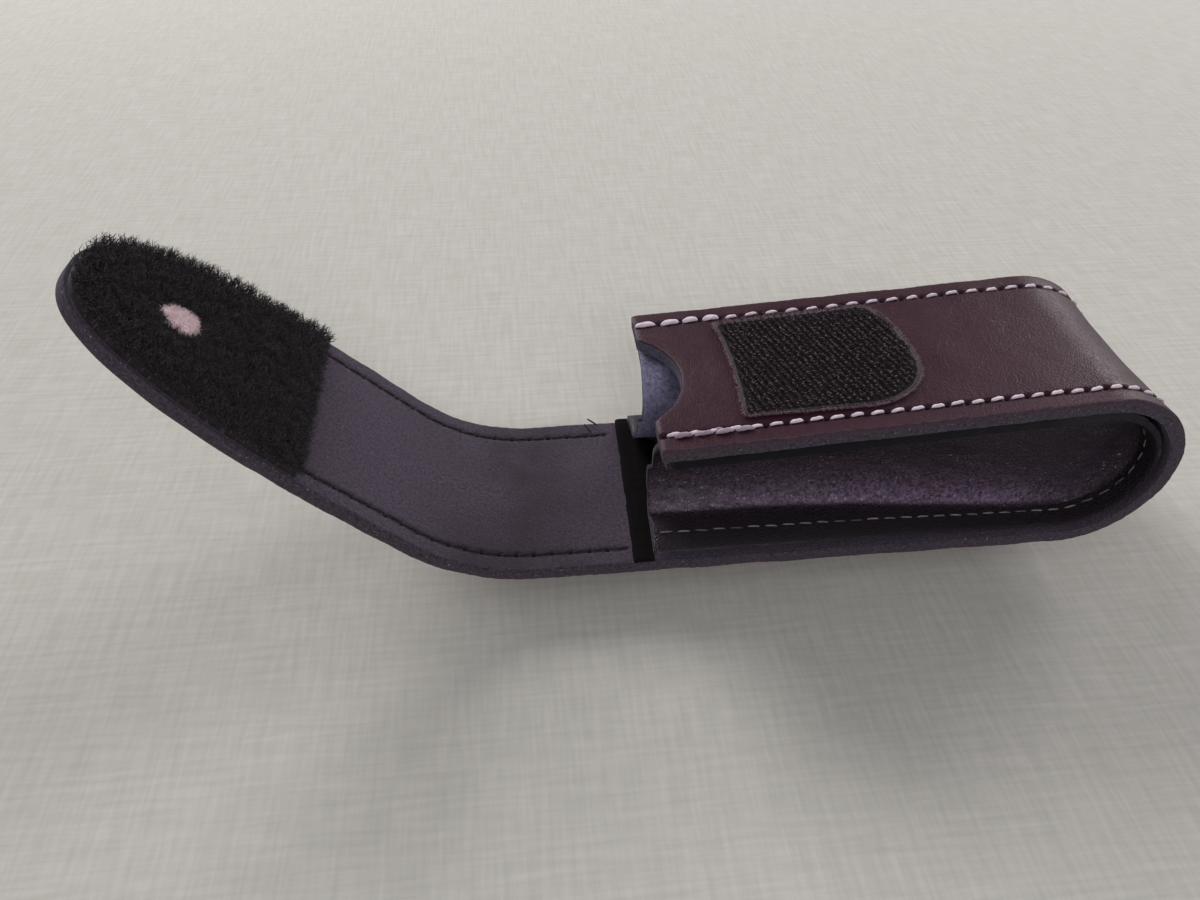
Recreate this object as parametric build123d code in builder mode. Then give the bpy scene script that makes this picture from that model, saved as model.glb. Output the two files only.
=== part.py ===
from build123d import *
from math import cos, floor, pi, radians, sin
import os

os.makedirs("parts", exist_ok=True)

# Leather belt pouch for a folding knife, lying on its belt loop with the flap thrown open.
# One long strip of leather makes the flap, the back, the bottom bend and the front.
# The origin is the middle of the belt loop's outer face, on the surface that the pouch lies on.
# +X runs from the mouth to the bottom bend, +Y to the far side, +Z up through the front.

# Strip of leather
strip_width = 42.0
strip_thickness = 2.9
bend_outer_radius = 18.5
back_length = 82.0
front_slope_deg = 3.8

# Thumb notch in the front's mouth edge
notch_chord = 24.6
notch_depth = 6.7
corner_round = 1.2

# Gussets
gusset_thickness = 2.25
gusset_recess = 6.6
crease_width = 1.6
belly_near = 4.0
belly_far = 5.0
belly_reach = 78.0
belly_margin = 2.5
belly_strips = 6

# Flap, measured along its inner face from the mouth
flap_length = 116.6
hinge_gap = 3.6
flap_bend_radius = 32.0
flap_bend_deg = 45.0
crown_share = 0.5
crown_close_deg = 90.0
tongue_taper = 64.0
taper_fullness = 0.696

# Lining end at the mouth
band_width = 3.3
band_depth = 6.0
band_thickness = 0.85
band_overhang = 0.2

# Hook tape on the front
hook_width = 30.0
hook_start = 16.0
hook_length = 35.0
hook_round = 11.0
hook_tip_handle = 0.35
hook_base = 0.7
hook_height = 0.9
hook_pitch = 1.7
hook_rib = 0.7
hook_margin = 0.7
hook_skew_deg = 11.0

# Loop tape on the flap
loop_length = 45.7
loop_margin = 0.9
loop_base = 0.8
pile_height = 2.2
pile_lean = 0.7
spot_length = 7.6
spot_width = 5.4
spot_place = 51.0
spot_offset = -1.0
spot_turn_deg = -40.0
spot_depth = 1.0
spot_thickness = 0.6

# Belt loop on the back
loop_strap_width = 30.0
loop_strap_thickness = 2.2
loop_strap_start = 3.0
loop_strap_length = 62.0
loop_tab = 8.0
loop_ramp = 6.0
loop_strap_bend = 3.4
belt_room = 4.6

# Thread
stitch_pitch = 3.7
stitch_length = 2.9
stitch_width = 0.75
stitch_height = 0.4
stitch_inset = 4.0
stitch_slant_deg = 9.0
seam_end = 2.2
tack_count = 3
tack_offset = 1.0
belt_rows = 2
belt_row_gap = 3.6

# Clearances
seat_clearance = 0.04
face_clearance = 0.1
closed_clearance = 0.3

# The pouch in side view: u from the mouth to the bend, v up from the back's outer face
mouth_x = -(loop_strap_start + loop_strap_length / 2)
back_z = belt_room + loop_strap_thickness
side_view = Plane(origin=(mouth_x, 0, back_z), x_dir=(1, 0, 0), z_dir=(0, -1, 0))
half_width = strip_width / 2
slope = radians(front_slope_deg)
bend_centre = (back_length, bend_outer_radius)
edge_extra = 5.0


def front_point(inset, along):
    """Point of the front in side view, `inset` under its outer face and `along` from the mouth."""
    radius = bend_outer_radius - inset
    tangent_u = bend_centre[0] - radius * sin(slope)
    tangent_v = bend_centre[1] + radius * cos(slope)
    return (along, tangent_v - (tangent_u - along) * sin(slope) / cos(slope))


def draw_wrap(inset, reach):
    """Line of the strip in side view, from the front's mouth round the bend and along the back."""
    radius = bend_outer_radius - inset
    top = (bend_centre[0] - radius * sin(slope), bend_centre[1] + radius * cos(slope))
    Line(front_point(inset, -reach), top)
    CenterArc(bend_centre, radius, 90 + front_slope_deg, -(180 + front_slope_deg))
    Line((back_length, inset), (-reach, inset))


def pouch_outline(inset, reach):
    """Closed side view of the pouch, `inset` inside its outer face, cut `reach` before the mouth."""
    with BuildSketch() as outline:
        with BuildLine():
            draw_wrap(inset, reach)
            Line((-reach, inset), front_point(inset, -reach))
        make_face()
    return outline.sketch


def front_plane(lift):
    """Plane on the front's outer face, `lift` above it, with its origin at the mouth."""
    u, v = front_point(0, 0)
    start = side_view.from_local_coords((u - lift * sin(slope), v + lift * cos(slope)))
    return Plane(origin=start, x_dir=(cos(slope), 0, sin(slope)), z_dir=(-sin(slope), 0, cos(slope)))


def stitch_places(path, span_start, span_end, face, side_y, hollow_radius=None):
    """Places for stitches along a side-view line, on its left (1) or right (-1) face.

    Over a hollow bend a straight stitch rises by its sagitta, length squared over 8 radii."""
    rise = stitch_height / 2 + seat_clearance
    if hollow_radius:
        rise += stitch_length ** 2 / (8 * hollow_radius)
    count = floor((span_end - span_start) / stitch_pitch)
    first = (span_start + span_end - (count - 1) * stitch_pitch) / 2
    places = []
    for number in range(count):
        share = (first + number * stitch_pitch) / path.length
        point = path.position_at(share)
        along = path.tangent_at(share)
        normal = Vector(-along.Z, 0, along.X) * face
        lifted = point + normal * rise
        at = Plane(origin=(lifted.X, side_y, lifted.Z), x_dir=along, z_dir=normal)
        places.append(at.location * Rotation(0, 0, stitch_slant_deg))
    return places


def save(piece, name):
    """Name a finished piece and write it."""
    piece.part.label = name
    export_step(piece.part, "parts/" + name + ".step")


# Lines of the strip's faces in side view, which the seams follow
with BuildLine(side_view) as outer_wrap:
    draw_wrap(0, 0)
with BuildLine(side_view) as flange_wrap:
    draw_wrap(strip_thickness + gusset_thickness, 0)

# When the flap closes, the crown stands up and the fold turns the tongue down along the front.
# The crown's flat stretch is as long as it takes for the pile to lie just clear of the hooks.
crown_bend_deg = flap_bend_deg * crown_share
tongue_bend_deg = flap_bend_deg - crown_bend_deg
fold_close_deg = 180 - front_slope_deg - flap_bend_deg - crown_close_deg
stack = hook_base + hook_height + loop_base + pile_height + closed_clearance
fold_from = radians(crown_close_deg + crown_bend_deg + fold_close_deg)
fold_to = radians(180 - front_slope_deg)
lie_u = flap_bend_radius * (1 - cos(radians(crown_bend_deg)) + sin(fold_from) - sin(fold_to))
lie_v = flap_bend_radius * (sin(radians(crown_bend_deg)) + cos(fold_from) - cos(fold_to))
closed_v = front_point(0, 0)[1] + (stack + (lie_u - hinge_gap) * sin(slope)) / cos(slope)
flap_flat = closed_v - lie_v - strip_thickness
tongue_straight = flap_length - hinge_gap - flap_flat - radians(flap_bend_deg) * flap_bend_radius

flap_start = (-hinge_gap, strip_thickness)
bend_start = (-hinge_gap - flap_flat, strip_thickness)
flap_bend_centre = (bend_start[0], strip_thickness + flap_bend_radius)


def flap_point(angle_deg, depth):
    """Point of the flap's bend in side view, `depth` below its inner face."""
    radius = flap_bend_radius + depth
    angle = radians(angle_deg)
    return (flap_bend_centre[0] - radius * sin(angle), flap_bend_centre[1] - radius * cos(angle))


def draw_crown(depth):
    """Line of the crown in side view, from the mouth hinge to the fold, `depth` below its face."""
    Line((flap_start[0], flap_start[1] - depth), (bend_start[0], bend_start[1] - depth))
    CenterArc(flap_bend_centre, flap_bend_radius + depth, -90, -crown_bend_deg)


def draw_tongue_bend(depth):
    """Line of the tongue's bend in side view, from the fold to its straight stretch."""
    CenterArc(flap_bend_centre, flap_bend_radius + depth, -90 - crown_bend_deg, -tongue_bend_deg)


def draw_tongue(depth):
    """Line of the whole tongue in side view, from the fold to the tip."""
    draw_tongue_bend(depth)
    begin = flap_point(flap_bend_deg, depth)
    lean = radians(flap_bend_deg)
    Line(begin, (begin[0] - tongue_straight * cos(lean), begin[1] + tongue_straight * sin(lean)))


# The tongue's straight stretch has its own plane on the flap's inner face
lean = radians(flap_bend_deg)
tongue_origin = side_view.from_local_coords(flap_point(flap_bend_deg, 0))
tongue_plane = Plane(
    origin=tongue_origin, x_dir=(-cos(lean), 0, sin(lean)), z_dir=(sin(lean), 0, cos(lean))
)


def tongue_outline(begin, margin):
    """Outline of the tongue from `begin` on, `margin` inside its edge, drawn in to a round tip."""
    reach = half_width - margin
    tip = tongue_straight - margin
    shoulder = tongue_straight - tongue_taper
    waist = shoulder + taper_fullness * tongue_taper
    with BuildSketch() as outline:
        with BuildLine():
            Line((0, 0), (0, reach))
            Line((0, reach), (shoulder, reach))
            Bezier((shoulder, reach), (waist, reach), (tip, taper_fullness * reach), (tip, 0))
            mirror(about=Plane.XZ)
        make_face()
        with Locations((begin + tongue_straight / 2, 0)):
            Rectangle(tongue_straight, strip_width, mode=Mode.INTERSECT)
    return outline.sketch


# Main strip: back, bottom bend and front in one piece, with the thumb notch
notch_radius = (notch_chord ** 2 / 4 + notch_depth ** 2) / (2 * notch_depth)
front_top = front_point(0, back_length)[1]
with BuildPart() as main_strip:
    with BuildSketch(side_view):
        add(pouch_outline(0, 0))
        add(pouch_outline(strip_thickness, edge_extra), mode=Mode.SUBTRACT)
        with Locations((-hinge_gap / 2, strip_thickness / 2)):
            Rectangle(hinge_gap, strip_thickness)
    extrude(amount=half_width, both=True)
    with BuildSketch(Plane.XY.offset(back_z + bend_outer_radius)):
        with Locations((mouth_x + notch_depth - notch_radius, 0)):
            Circle(notch_radius)
    extrude(amount=front_top, mode=Mode.SUBTRACT)
    mouth_corners = main_strip.edges().filter_by(Axis.Z, tolerance=front_slope_deg + 1)
    mouth_corners = mouth_corners.filter_by_position(Axis.X, mouth_x - 0.1, mouth_x + 0.1)
    mouth_corners = mouth_corners.filter_by(lambda edge: abs(edge.center().Y) > half_width - 0.1)
    fillet(mouth_corners, corner_round)
save(main_strip, "main_strip")

# Gussets: trays that line the strip's inner face, with a flange out to its edges.
# Their walls belly into the pocket, most at the mouth, where nothing holds them out.
wall_inner = half_width - gusset_recess - gusset_thickness


def belly(wall_y, depth, hand):
    """A gusset's belly: a round hump, in flat strips, that stands `depth` off the wall at the mouth
    and runs out at `belly_reach`, because it is extruded slantwise into the wall."""
    low = strip_thickness + gusset_thickness + belly_margin
    high = front_point(strip_thickness + gusset_thickness, 0)[1] - belly_margin
    steps = [step / belly_strips for step in range(belly_strips + 1)]
    hump = [(wall_y + hand * depth * sin(pi * step), low + (high - low) * step) for step in steps]
    with BuildSketch(mouth_plane) as section:
        with BuildLine():
            Polyline(*hump, close=True)
        make_face()
    rise = belly_reach * sin(slope) / (2 * cos(slope))
    run_out = Vector(belly_reach, -hand * depth, rise)
    return extrude(section.sketch, amount=run_out.length, dir=run_out, mode=Mode.PRIVATE)


mouth_plane = Plane(origin=(mouth_x, 0, back_z), x_dir=(0, 1, 0), z_dir=(1, 0, 0))
for name, hand, belly_depth in (("gusset_near", 1, belly_near), ("gusset_far", -1, belly_far)):
    floor_y = -hand * (wall_inner + gusset_thickness)
    back_y = -hand * wall_inner
    with BuildPart() as gusset:
        with BuildSketch(side_view.offset(hand * wall_inner)):
            add(pouch_outline(strip_thickness, 0))
        extrude(amount=hand * (half_width - wall_inner))
        folds = gusset.edges().filter_by_position(Axis.Y, back_y - 0.01, back_y + 0.01)
        folds = folds.filter_by(lambda edge: edge.center().X > mouth_x + 1)
        chamfer(folds, crease_width + gusset_thickness / 2)
        add(belly(back_y, belly_depth, hand))
        with BuildSketch(side_view.offset(hand * (wall_inner + gusset_thickness))):
            add(pouch_outline(strip_thickness + gusset_thickness, edge_extra))
        extrude(amount=hand * (gusset_recess + edge_extra), mode=Mode.SUBTRACT)
        creases = gusset.edges().filter_by_position(Axis.Y, floor_y - 0.01, floor_y + 0.01)
        creases = creases.filter_by(lambda edge: edge.center().X > mouth_x + 1)
        chamfer(creases, crease_width)
        add(belly(floor_y, belly_depth, hand), mode=Mode.SUBTRACT)
    save(gusset, name)

# End of the black lining, across the strip at the mouth and on between the gussets
with BuildPart() as mouth_band:
    with BuildSketch(Plane.XY.offset(back_z + strip_thickness)):
        with Locations((mouth_x - face_clearance - band_width / 2, 0)):
            Rectangle(band_width - 2 * face_clearance, strip_width + 2 * band_overhang)
        with Locations((mouth_x + band_depth / 2 - 2 * face_clearance, 0)):
            Rectangle(band_depth, 2 * (wall_inner - 2 * face_clearance))
    extrude(amount=band_thickness)
save(mouth_band, "mouth_band")


def hook_outline(margin):
    """Outline of the hook tape: square at the mouth end, rounded at the other."""
    reach = hook_width / 2 - margin
    begin = hook_start + margin
    shoulder = hook_start + hook_length - hook_round
    tip = hook_start + hook_length - margin
    with BuildSketch() as outline:
        with BuildLine():
            Line((begin, 0), (begin, reach))
            Line((begin, reach), (shoulder, reach))
            Bezier((shoulder, reach), (tip, reach), (tip, hook_tip_handle * reach), (tip, 0))
            mirror(about=Plane.XZ)
        make_face()
    return outline.sketch


# Hook tape: a woven base with slanted rows of hooks standing on it
hook_rows = floor((hook_length - 2 * hook_margin) / hook_pitch)
with BuildPart() as hook_patch:
    with BuildSketch(front_plane(0)):
        add(hook_outline(0))
    extrude(amount=hook_base)
    with BuildSketch(front_plane(hook_base)):
        with Locations((hook_start + hook_length / 2, 0)):
            with GridLocations(hook_pitch, 1, hook_rows, 1):
                Rectangle(hook_rib, strip_width, rotation=hook_skew_deg)
        add(hook_outline(hook_margin), mode=Mode.INTERSECT)
    extrude(amount=hook_height)
save(hook_patch, "hook_patch")

# Belt loop: a strap sewn flat to the back at both ends, standing off it between them
strap_end = loop_strap_start + loop_strap_length
with BuildPart() as belt_loop:
    with BuildSketch(side_view):
        with BuildLine():
            FilletPolyline(
                (loop_strap_start, 0),
                (loop_strap_start + loop_tab, 0),
                (loop_strap_start + loop_tab + loop_ramp, -belt_room),
                (strap_end - loop_tab - loop_ramp, -belt_room),
                (strap_end - loop_tab, 0),
                (strap_end, 0),
                radius=loop_strap_bend,
            )
            offset(amount=loop_strap_thickness, side=Side.RIGHT)
        make_face()
    extrude(amount=loop_strap_width / 2, both=True)
save(belt_loop, "belt_loop")

# Rows of stitches across the belt loop's sewn ends, seen from below
row_count = floor((loop_strap_width - stitch_pitch) / stitch_pitch)
for name, tab_u in (
    ("belt_seam_upper", loop_strap_start + loop_tab / 2),
    ("belt_seam_lower", strap_end - loop_tab / 2),
):
    row_z = back_z - loop_strap_thickness - stitch_height / 2 - seat_clearance
    with BuildPart() as belt_seam:
        with Locations((mouth_x + tab_u, 0, row_z)):
            with GridLocations(belt_row_gap, stitch_pitch, belt_rows, row_count):
                Box(stitch_width, stitch_length, stitch_height)
    save(belt_seam, name)

# Seams that hold the gussets to the strip, seen outside and on the flanges
flange_radius = bend_outer_radius - strip_thickness - gusset_thickness
for name, side_y in (("near", stitch_inset - half_width), ("far", half_width - stitch_inset)):
    wrap = outer_wrap.wires()[0]
    with BuildPart() as body_seam:
        with Locations(*stitch_places(wrap, seam_end, wrap.length, 1, side_y)):
            Box(stitch_length, stitch_width, stitch_height)
    save(body_seam, "body_seam_" + name)
    inner = flange_wrap.wires()[0]
    with BuildPart() as flange_seam:
        with Locations(*stitch_places(inner, seam_end, inner.length, -1, side_y, flange_radius)):
            Box(stitch_length, stitch_width, stitch_height)
    save(flange_seam, "flange_seam_" + name)

# Back-tacked stitches at the mouth: a short second row, and a stitch over the front's edge
for name, side_y, inward in (
    ("near", stitch_inset - half_width, 1),
    ("far", half_width - stitch_inset, -1),
):
    tack_from = seam_end + stitch_pitch / 2
    tack_to = tack_from + tack_count * stitch_pitch
    tack_y = side_y + inward * tack_offset
    edge_x = mouth_x - stitch_height / 2 - seat_clearance
    edge_z = back_z + front_point((strip_thickness + gusset_thickness) / 2, 0)[1]
    with BuildPart() as mouth_tack:
        with Locations(*stitch_places(outer_wrap.wires()[0], tack_from, tack_to, 1, tack_y)):
            Box(stitch_length, stitch_width, stitch_height)
        with Locations((edge_x, side_y, edge_z)):
            Box(stitch_height, stitch_width, strip_thickness + gusset_thickness)
    save(mouth_tack, "mouth_tack_" + name)

# Flap crown: the flap's flat stretch and the first half of its bend
with BuildPart() as flap_crown:
    with BuildSketch(side_view):
        with BuildLine():
            draw_crown(0)
            draw_crown(strip_thickness)
            Line(flap_start, (flap_start[0], flap_start[1] - strip_thickness))
            Line(flap_point(crown_bend_deg, 0), flap_point(crown_bend_deg, strip_thickness))
        make_face()
    extrude(amount=half_width, both=True)
save(flap_crown, "flap_crown")

# Flap tongue: the second half of the bend and the rounded straight stretch
with BuildPart() as flap_tongue:
    with BuildSketch(side_view):
        with BuildLine():
            draw_tongue_bend(0)
            draw_tongue_bend(strip_thickness)
            Line(flap_point(crown_bend_deg, 0), flap_point(crown_bend_deg, strip_thickness))
            Line(flap_point(flap_bend_deg, 0), flap_point(flap_bend_deg, strip_thickness))
        make_face()
    extrude(amount=half_width, both=True)
    with BuildSketch(tongue_plane):
        add(tongue_outline(0, 0))
    extrude(amount=-strip_thickness)
save(flap_tongue, "flap_tongue")

# Seams along the flap, on its inner and outer faces
with BuildLine(side_view) as crown_inner:
    draw_crown(0)
with BuildLine(side_view) as crown_outer:
    draw_crown(strip_thickness)
with BuildLine(side_view) as tongue_inner:
    draw_tongue(0)
with BuildLine(side_view) as tongue_outer:
    draw_tongue(strip_thickness)
tongue_bend_length = radians(tongue_bend_deg) * flap_bend_radius
loop_start = tongue_straight - loop_length
for name, side_y in (("near", stitch_inset - half_width), ("far", half_width - stitch_inset)):
    crown_span = crown_inner.wires()[0].length
    crown_face = crown_inner.wires()[0]
    crown_places = stitch_places(crown_face, seam_end, crown_span, -1, side_y, flap_bend_radius)
    crown_places += stitch_places(crown_outer.wires()[0], seam_end, crown_span, 1, side_y)
    with BuildPart() as crown_seam:
        with Locations(*crown_places):
            Box(stitch_length, stitch_width, stitch_height)
    save(crown_seam, "crown_seam_" + name)
    tongue_span = tongue_bend_length + loop_start
    tongue_face = tongue_inner.wires()[0]
    tongue_places = stitch_places(tongue_face, 0, tongue_span, -1, side_y, flap_bend_radius)
    tongue_places += stitch_places(tongue_outer.wires()[0], 0, tongue_span, 1, side_y)
    with BuildPart() as tongue_seam:
        with Locations(*tongue_places):
            Box(stitch_length, stitch_width, stitch_height)
    save(tongue_seam, "tongue_seam_" + name)


# Loop tape: its base, and the pile that stands on it round the pale spot
with BuildPart() as loop_tape:
    with BuildSketch(tongue_plane):
        add(tongue_outline(loop_start, loop_margin))
    extrude(amount=loop_base)
save(loop_tape, "loop_tape")

with BuildPart() as loop_pile:
    with BuildSketch(tongue_plane.offset(loop_base)):
        add(tongue_outline(loop_start, loop_margin))
    with BuildSketch(tongue_plane.offset(loop_base + pile_height)):
        add(tongue_outline(loop_start + pile_lean, loop_margin + pile_lean))
    loft(ruled=True)
    with BuildSketch(tongue_plane.offset(loop_base + pile_height)):
        with Locations((spot_place, spot_offset)):
            Ellipse(spot_length / 2, spot_width / 2, rotation=spot_turn_deg)
    extrude(amount=-spot_depth, mode=Mode.SUBTRACT)
save(loop_pile, "loop_pile")

with BuildPart() as pale_spot:
    with BuildSketch(tongue_plane.offset(loop_base + pile_height - spot_depth)):
        with Locations((spot_place, spot_offset)):
            Ellipse(spot_length / 2 - face_clearance, spot_width / 2 - face_clearance, rotation=spot_turn_deg)
    extrude(amount=spot_thickness)
save(pale_spot, "pale_spot")

hinge_at = side_view.from_local_coords(flap_start)
fold_at = side_view.from_local_coords(flap_point(crown_bend_deg, 0))
print("mouth hinge", hinge_at, "range", crown_close_deg)
print("flap fold", fold_at, "range", fold_close_deg)
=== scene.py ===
# %% [markdown]
# # A knife belt pouch, lying open
# The pouch is one long strip of leather, folded round a knife, with a black leather gusset
# sewn into each side. This notebook rebuilds it in Blender, piece by piece, on top of a CAD
# model that already fixes where everything is. Every length is in metres.

import bmesh
import bpy
import numpy as np
from mathutils import Matrix, Vector


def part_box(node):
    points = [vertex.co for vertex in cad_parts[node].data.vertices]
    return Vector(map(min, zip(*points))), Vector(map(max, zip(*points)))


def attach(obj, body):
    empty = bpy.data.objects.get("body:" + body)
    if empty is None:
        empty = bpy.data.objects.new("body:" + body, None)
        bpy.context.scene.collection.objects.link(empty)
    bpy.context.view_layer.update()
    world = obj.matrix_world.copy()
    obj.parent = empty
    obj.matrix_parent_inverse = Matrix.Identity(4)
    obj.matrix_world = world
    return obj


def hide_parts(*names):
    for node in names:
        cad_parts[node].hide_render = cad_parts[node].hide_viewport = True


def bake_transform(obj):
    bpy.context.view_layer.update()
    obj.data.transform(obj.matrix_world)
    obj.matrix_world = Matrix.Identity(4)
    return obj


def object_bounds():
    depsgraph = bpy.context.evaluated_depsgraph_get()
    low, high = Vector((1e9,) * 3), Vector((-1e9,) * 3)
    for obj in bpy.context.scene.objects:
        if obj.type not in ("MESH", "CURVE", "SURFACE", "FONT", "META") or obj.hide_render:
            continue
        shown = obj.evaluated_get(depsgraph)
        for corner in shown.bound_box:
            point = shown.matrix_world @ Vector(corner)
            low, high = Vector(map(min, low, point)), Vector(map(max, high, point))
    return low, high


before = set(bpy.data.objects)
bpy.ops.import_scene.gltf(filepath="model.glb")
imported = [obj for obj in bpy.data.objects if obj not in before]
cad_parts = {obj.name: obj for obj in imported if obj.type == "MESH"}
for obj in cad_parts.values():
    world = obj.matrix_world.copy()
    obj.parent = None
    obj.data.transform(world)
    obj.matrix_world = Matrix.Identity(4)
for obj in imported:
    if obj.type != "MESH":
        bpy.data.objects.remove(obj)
cad_low, cad_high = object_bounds()
mm = 0.001
pi = np.pi


def in_mm(values):
    return [round(float(v) / mm, 1) for v in values]


print("CAD nodes:", len(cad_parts), "size mm:", in_mm(cad_high - cad_low))

# %% [markdown]
# ## Driving sizes
# A few sizes are read from the CAD nodes' boxes, so that the leather made here lies exactly
# where the solids are. The others, such as the leather's thickness, can't be read from a box
# and are given as numbers.

# %% Driving sizes
strip_low, strip_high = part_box("main_strip")
tongue_low, tongue_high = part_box("flap_tongue")
mouth_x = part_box("gusset_near")[0].x
half_width = strip_high.y
back_z = strip_low.z
leather = 2.9 * mm
bend_radius = (strip_high.z - back_z) / 2
bend_x = strip_high.x - bend_radius
bend_z = back_z + bend_radius
front_slope = np.radians(3.8)
curl_radius = 32 * mm
curl = np.radians(45)
seam_y = half_width - 4 * mm
stitch_pitch = 3.7 * mm
print("half width and bend radius mm:", in_mm([half_width, bend_radius]))

# %% [markdown]
# ## The line the strip follows
# Seen from the side, the strip is a line of straight runs and arcs. It starts at the mouth of
# the front, goes round the bend, comes back under the pouch and curls up into the flap.
# Walking along that line, only two things are needed: how long each run is, and how far it
# turns. A point of the leather is then a place along the line, a distance across, and a
# depth into the hide.

# %% The line the strip follows
tangent_x = bend_x - bend_radius * np.sin(front_slope)
tangent_z = bend_z + bend_radius * np.cos(front_slope)
front_run = (tangent_x - mouth_x) / np.cos(front_slope)
bend_run = bend_radius * (pi + front_slope)
tongue_rise = tongue_high.z - back_z - leather - curl_radius * (1 - np.cos(curl))
tongue_run = tongue_rise / np.sin(curl)
flap_flat = (mouth_x - tongue_low.x - (curl_radius + leather) * np.sin(curl)
             - tongue_run * np.cos(curl))
back_run = bend_x - mouth_x + flap_flat
curl_run = (curl_radius + leather) * curl
run_length = np.array([front_run, bend_run, back_run, curl_run, tongue_run])
run_turn = np.array([0, -(pi + front_slope), 0, -curl, 0])
run_bend = run_turn / run_length


def sums_before(values):
    """The sum of all earlier values, for each value."""
    return np.concatenate([[0], np.cumsum(values)[:-1]])


def steps(distance, heading, bend):
    """How far a run goes sideways and up: a straight run goes along its heading, and an arc goes
    by the change of the sine and cosine of its heading, divided by its curvature."""
    after = heading + bend * distance
    straight = bend == 0
    curved = np.where(straight, 1, bend)
    arc_x, arc_z = np.sin(after) - np.sin(heading), np.cos(heading) - np.cos(after)
    dx = np.where(straight, distance * np.cos(heading), arc_x / curved)
    dz = np.where(straight, distance * np.sin(heading), arc_z / curved)
    return dx, dz, after


run_start = sums_before(run_length)
run_heading = front_slope + sums_before(run_turn)
run_dx, run_dz, _ = steps(run_length, run_heading, run_bend)
run_x = mouth_x + sums_before(run_dx)
run_z = tangent_z - front_run * np.sin(front_slope) + sums_before(run_dz)
back_start, _, tongue_start = run_start[2:]
back_mouth = back_start + bend_x - mouth_x
tip = tongue_start + tongue_run


def grid(*values):
    """Arrays brought to one shape and put side by side, as points or as a flat map."""
    return np.stack(np.broadcast_arrays(*values), -1)


def along_strip(s):
    """Finds the run that each place s is on, and steps into it from that run's start."""
    run = np.clip(np.searchsorted(run_start, s, side="right") - 1, 0, len(run_start) - 1)
    dx, dz, heading = steps(s - run_start[run], run_heading[run], run_bend[run])
    return run_x[run] + dx, run_z[run] + dz, heading


def strip_point(s, y, depth):
    """A point of the strip: along the line, across it, and down into the leather, which lies on
    the right of the line's heading."""
    x, z, heading = along_strip(s)
    return grid(x + depth * np.sin(heading), y, z - depth * np.cos(heading))


print("strip length and flat flap mm:", in_mm([tip, flap_flat]))

# %% [markdown]
# ## From grids of points to a mesh
# Each surface is worked out as a whole grid of points, and the faces are the quads between
# neighbours. A piece is several such grids in one mesh. Points that fall on one another are
# merged, which closes the seams of a tube and the poles of a cap. The flat map keeps the two
# distances of the surface in metres, so a pattern has its true size and follows the piece
# when it bends.

# %% Grids, patches and pieces
def patch(points, flat=None, finish=0, marks=None):
    """A stack of grids, (..., rows, columns, 3), as points, quads, flat map, finishes, marks."""
    points = np.asarray(points, float)
    rows, columns = points.shape[-3:-1]
    grids = points.reshape(-1, rows, columns, 3)
    first = np.arange(rows - 1)[:, None] * columns + np.arange(columns - 1)
    quads = np.stack([first, first + 1, first + columns + 1, first + columns], -1).reshape(-1, 4)
    starts = np.arange(len(grids)) * rows * columns
    quads = (starts[:, None, None] + quads).reshape(-1, 4)
    if flat is None:
        flat = grid(np.linspace(0, 1, rows)[:, None], np.linspace(0, 1, columns))
    flat = np.broadcast_to(flat, grids.shape[:-1] + (2,)).reshape(-1, 2)
    finish = np.broadcast_to(finish, (len(grids), rows - 1, columns - 1)).reshape(-1)
    marks = {k: np.broadcast_to(v, grids.shape[:-1]).ravel() for k, v in (marks or {}).items()}
    return grids.reshape(-1, 3), quads, flat, finish, marks


def make_piece(name, patches, finishes, outward=True, crisp=None):
    """Puts the patches into one mesh, merges equal points, and turns the faces outwards."""
    counts = [len(p[0]) for p in patches]
    points, flat, finish = (np.concatenate([p[k] for p in patches]) for k in (0, 2, 3))
    quads = [p[1] + shift for p, shift in zip(patches, sums_before(counts))]
    quads = np.concatenate(quads).astype(np.int32)
    mesh = bpy.data.meshes.new(name)
    mesh.vertices.add(len(points))
    mesh.vertices.foreach_set("co", points.astype(np.float32).ravel())
    mesh.loops.add(quads.size)
    mesh.loops.foreach_set("vertex_index", quads.ravel())
    mesh.polygons.add(len(quads))
    mesh.polygons.foreach_set("loop_start", np.arange(0, quads.size, 4, dtype=np.int32))
    mesh.update(calc_edges=True)
    mesh.polygons.foreach_set("material_index", finish.astype(np.int32))
    mesh.polygons.foreach_set("use_smooth", np.ones(len(quads), bool))
    flat_map = flat[quads.ravel()].astype(np.float32)
    mesh.uv_layers.new(name="flat").data.foreach_set("uv", flat_map.ravel())
    for key in patches[0][4]:
        mark = np.concatenate([p[4].get(key, np.zeros(n)) for p, n in zip(patches, counts)])
        stored = mesh.attributes.new(key, "FLOAT", "POINT").data
        stored.foreach_set("value", mark.astype(np.float32))
    shape = bmesh.new()
    shape.from_mesh(mesh)
    bmesh.ops.remove_doubles(shape, verts=shape.verts, dist=1e-6)
    if outward:
        bmesh.ops.recalc_face_normals(shape, faces=shape.faces)
    shape.to_mesh(mesh)
    shape.free()
    if crisp:
        mesh.set_sharp_from_angle(angle=np.radians(crisp))
    for material in finishes:
        mesh.materials.append(material)
    piece = bpy.data.objects.new(name, mesh)
    bpy.context.scene.collection.objects.link(piece)
    triangles = sum(len(p.vertices) - 2 for p in mesh.polygons)
    print(f"{name}: {len(mesh.vertices)} points, {triangles} triangles")
    return piece


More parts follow.
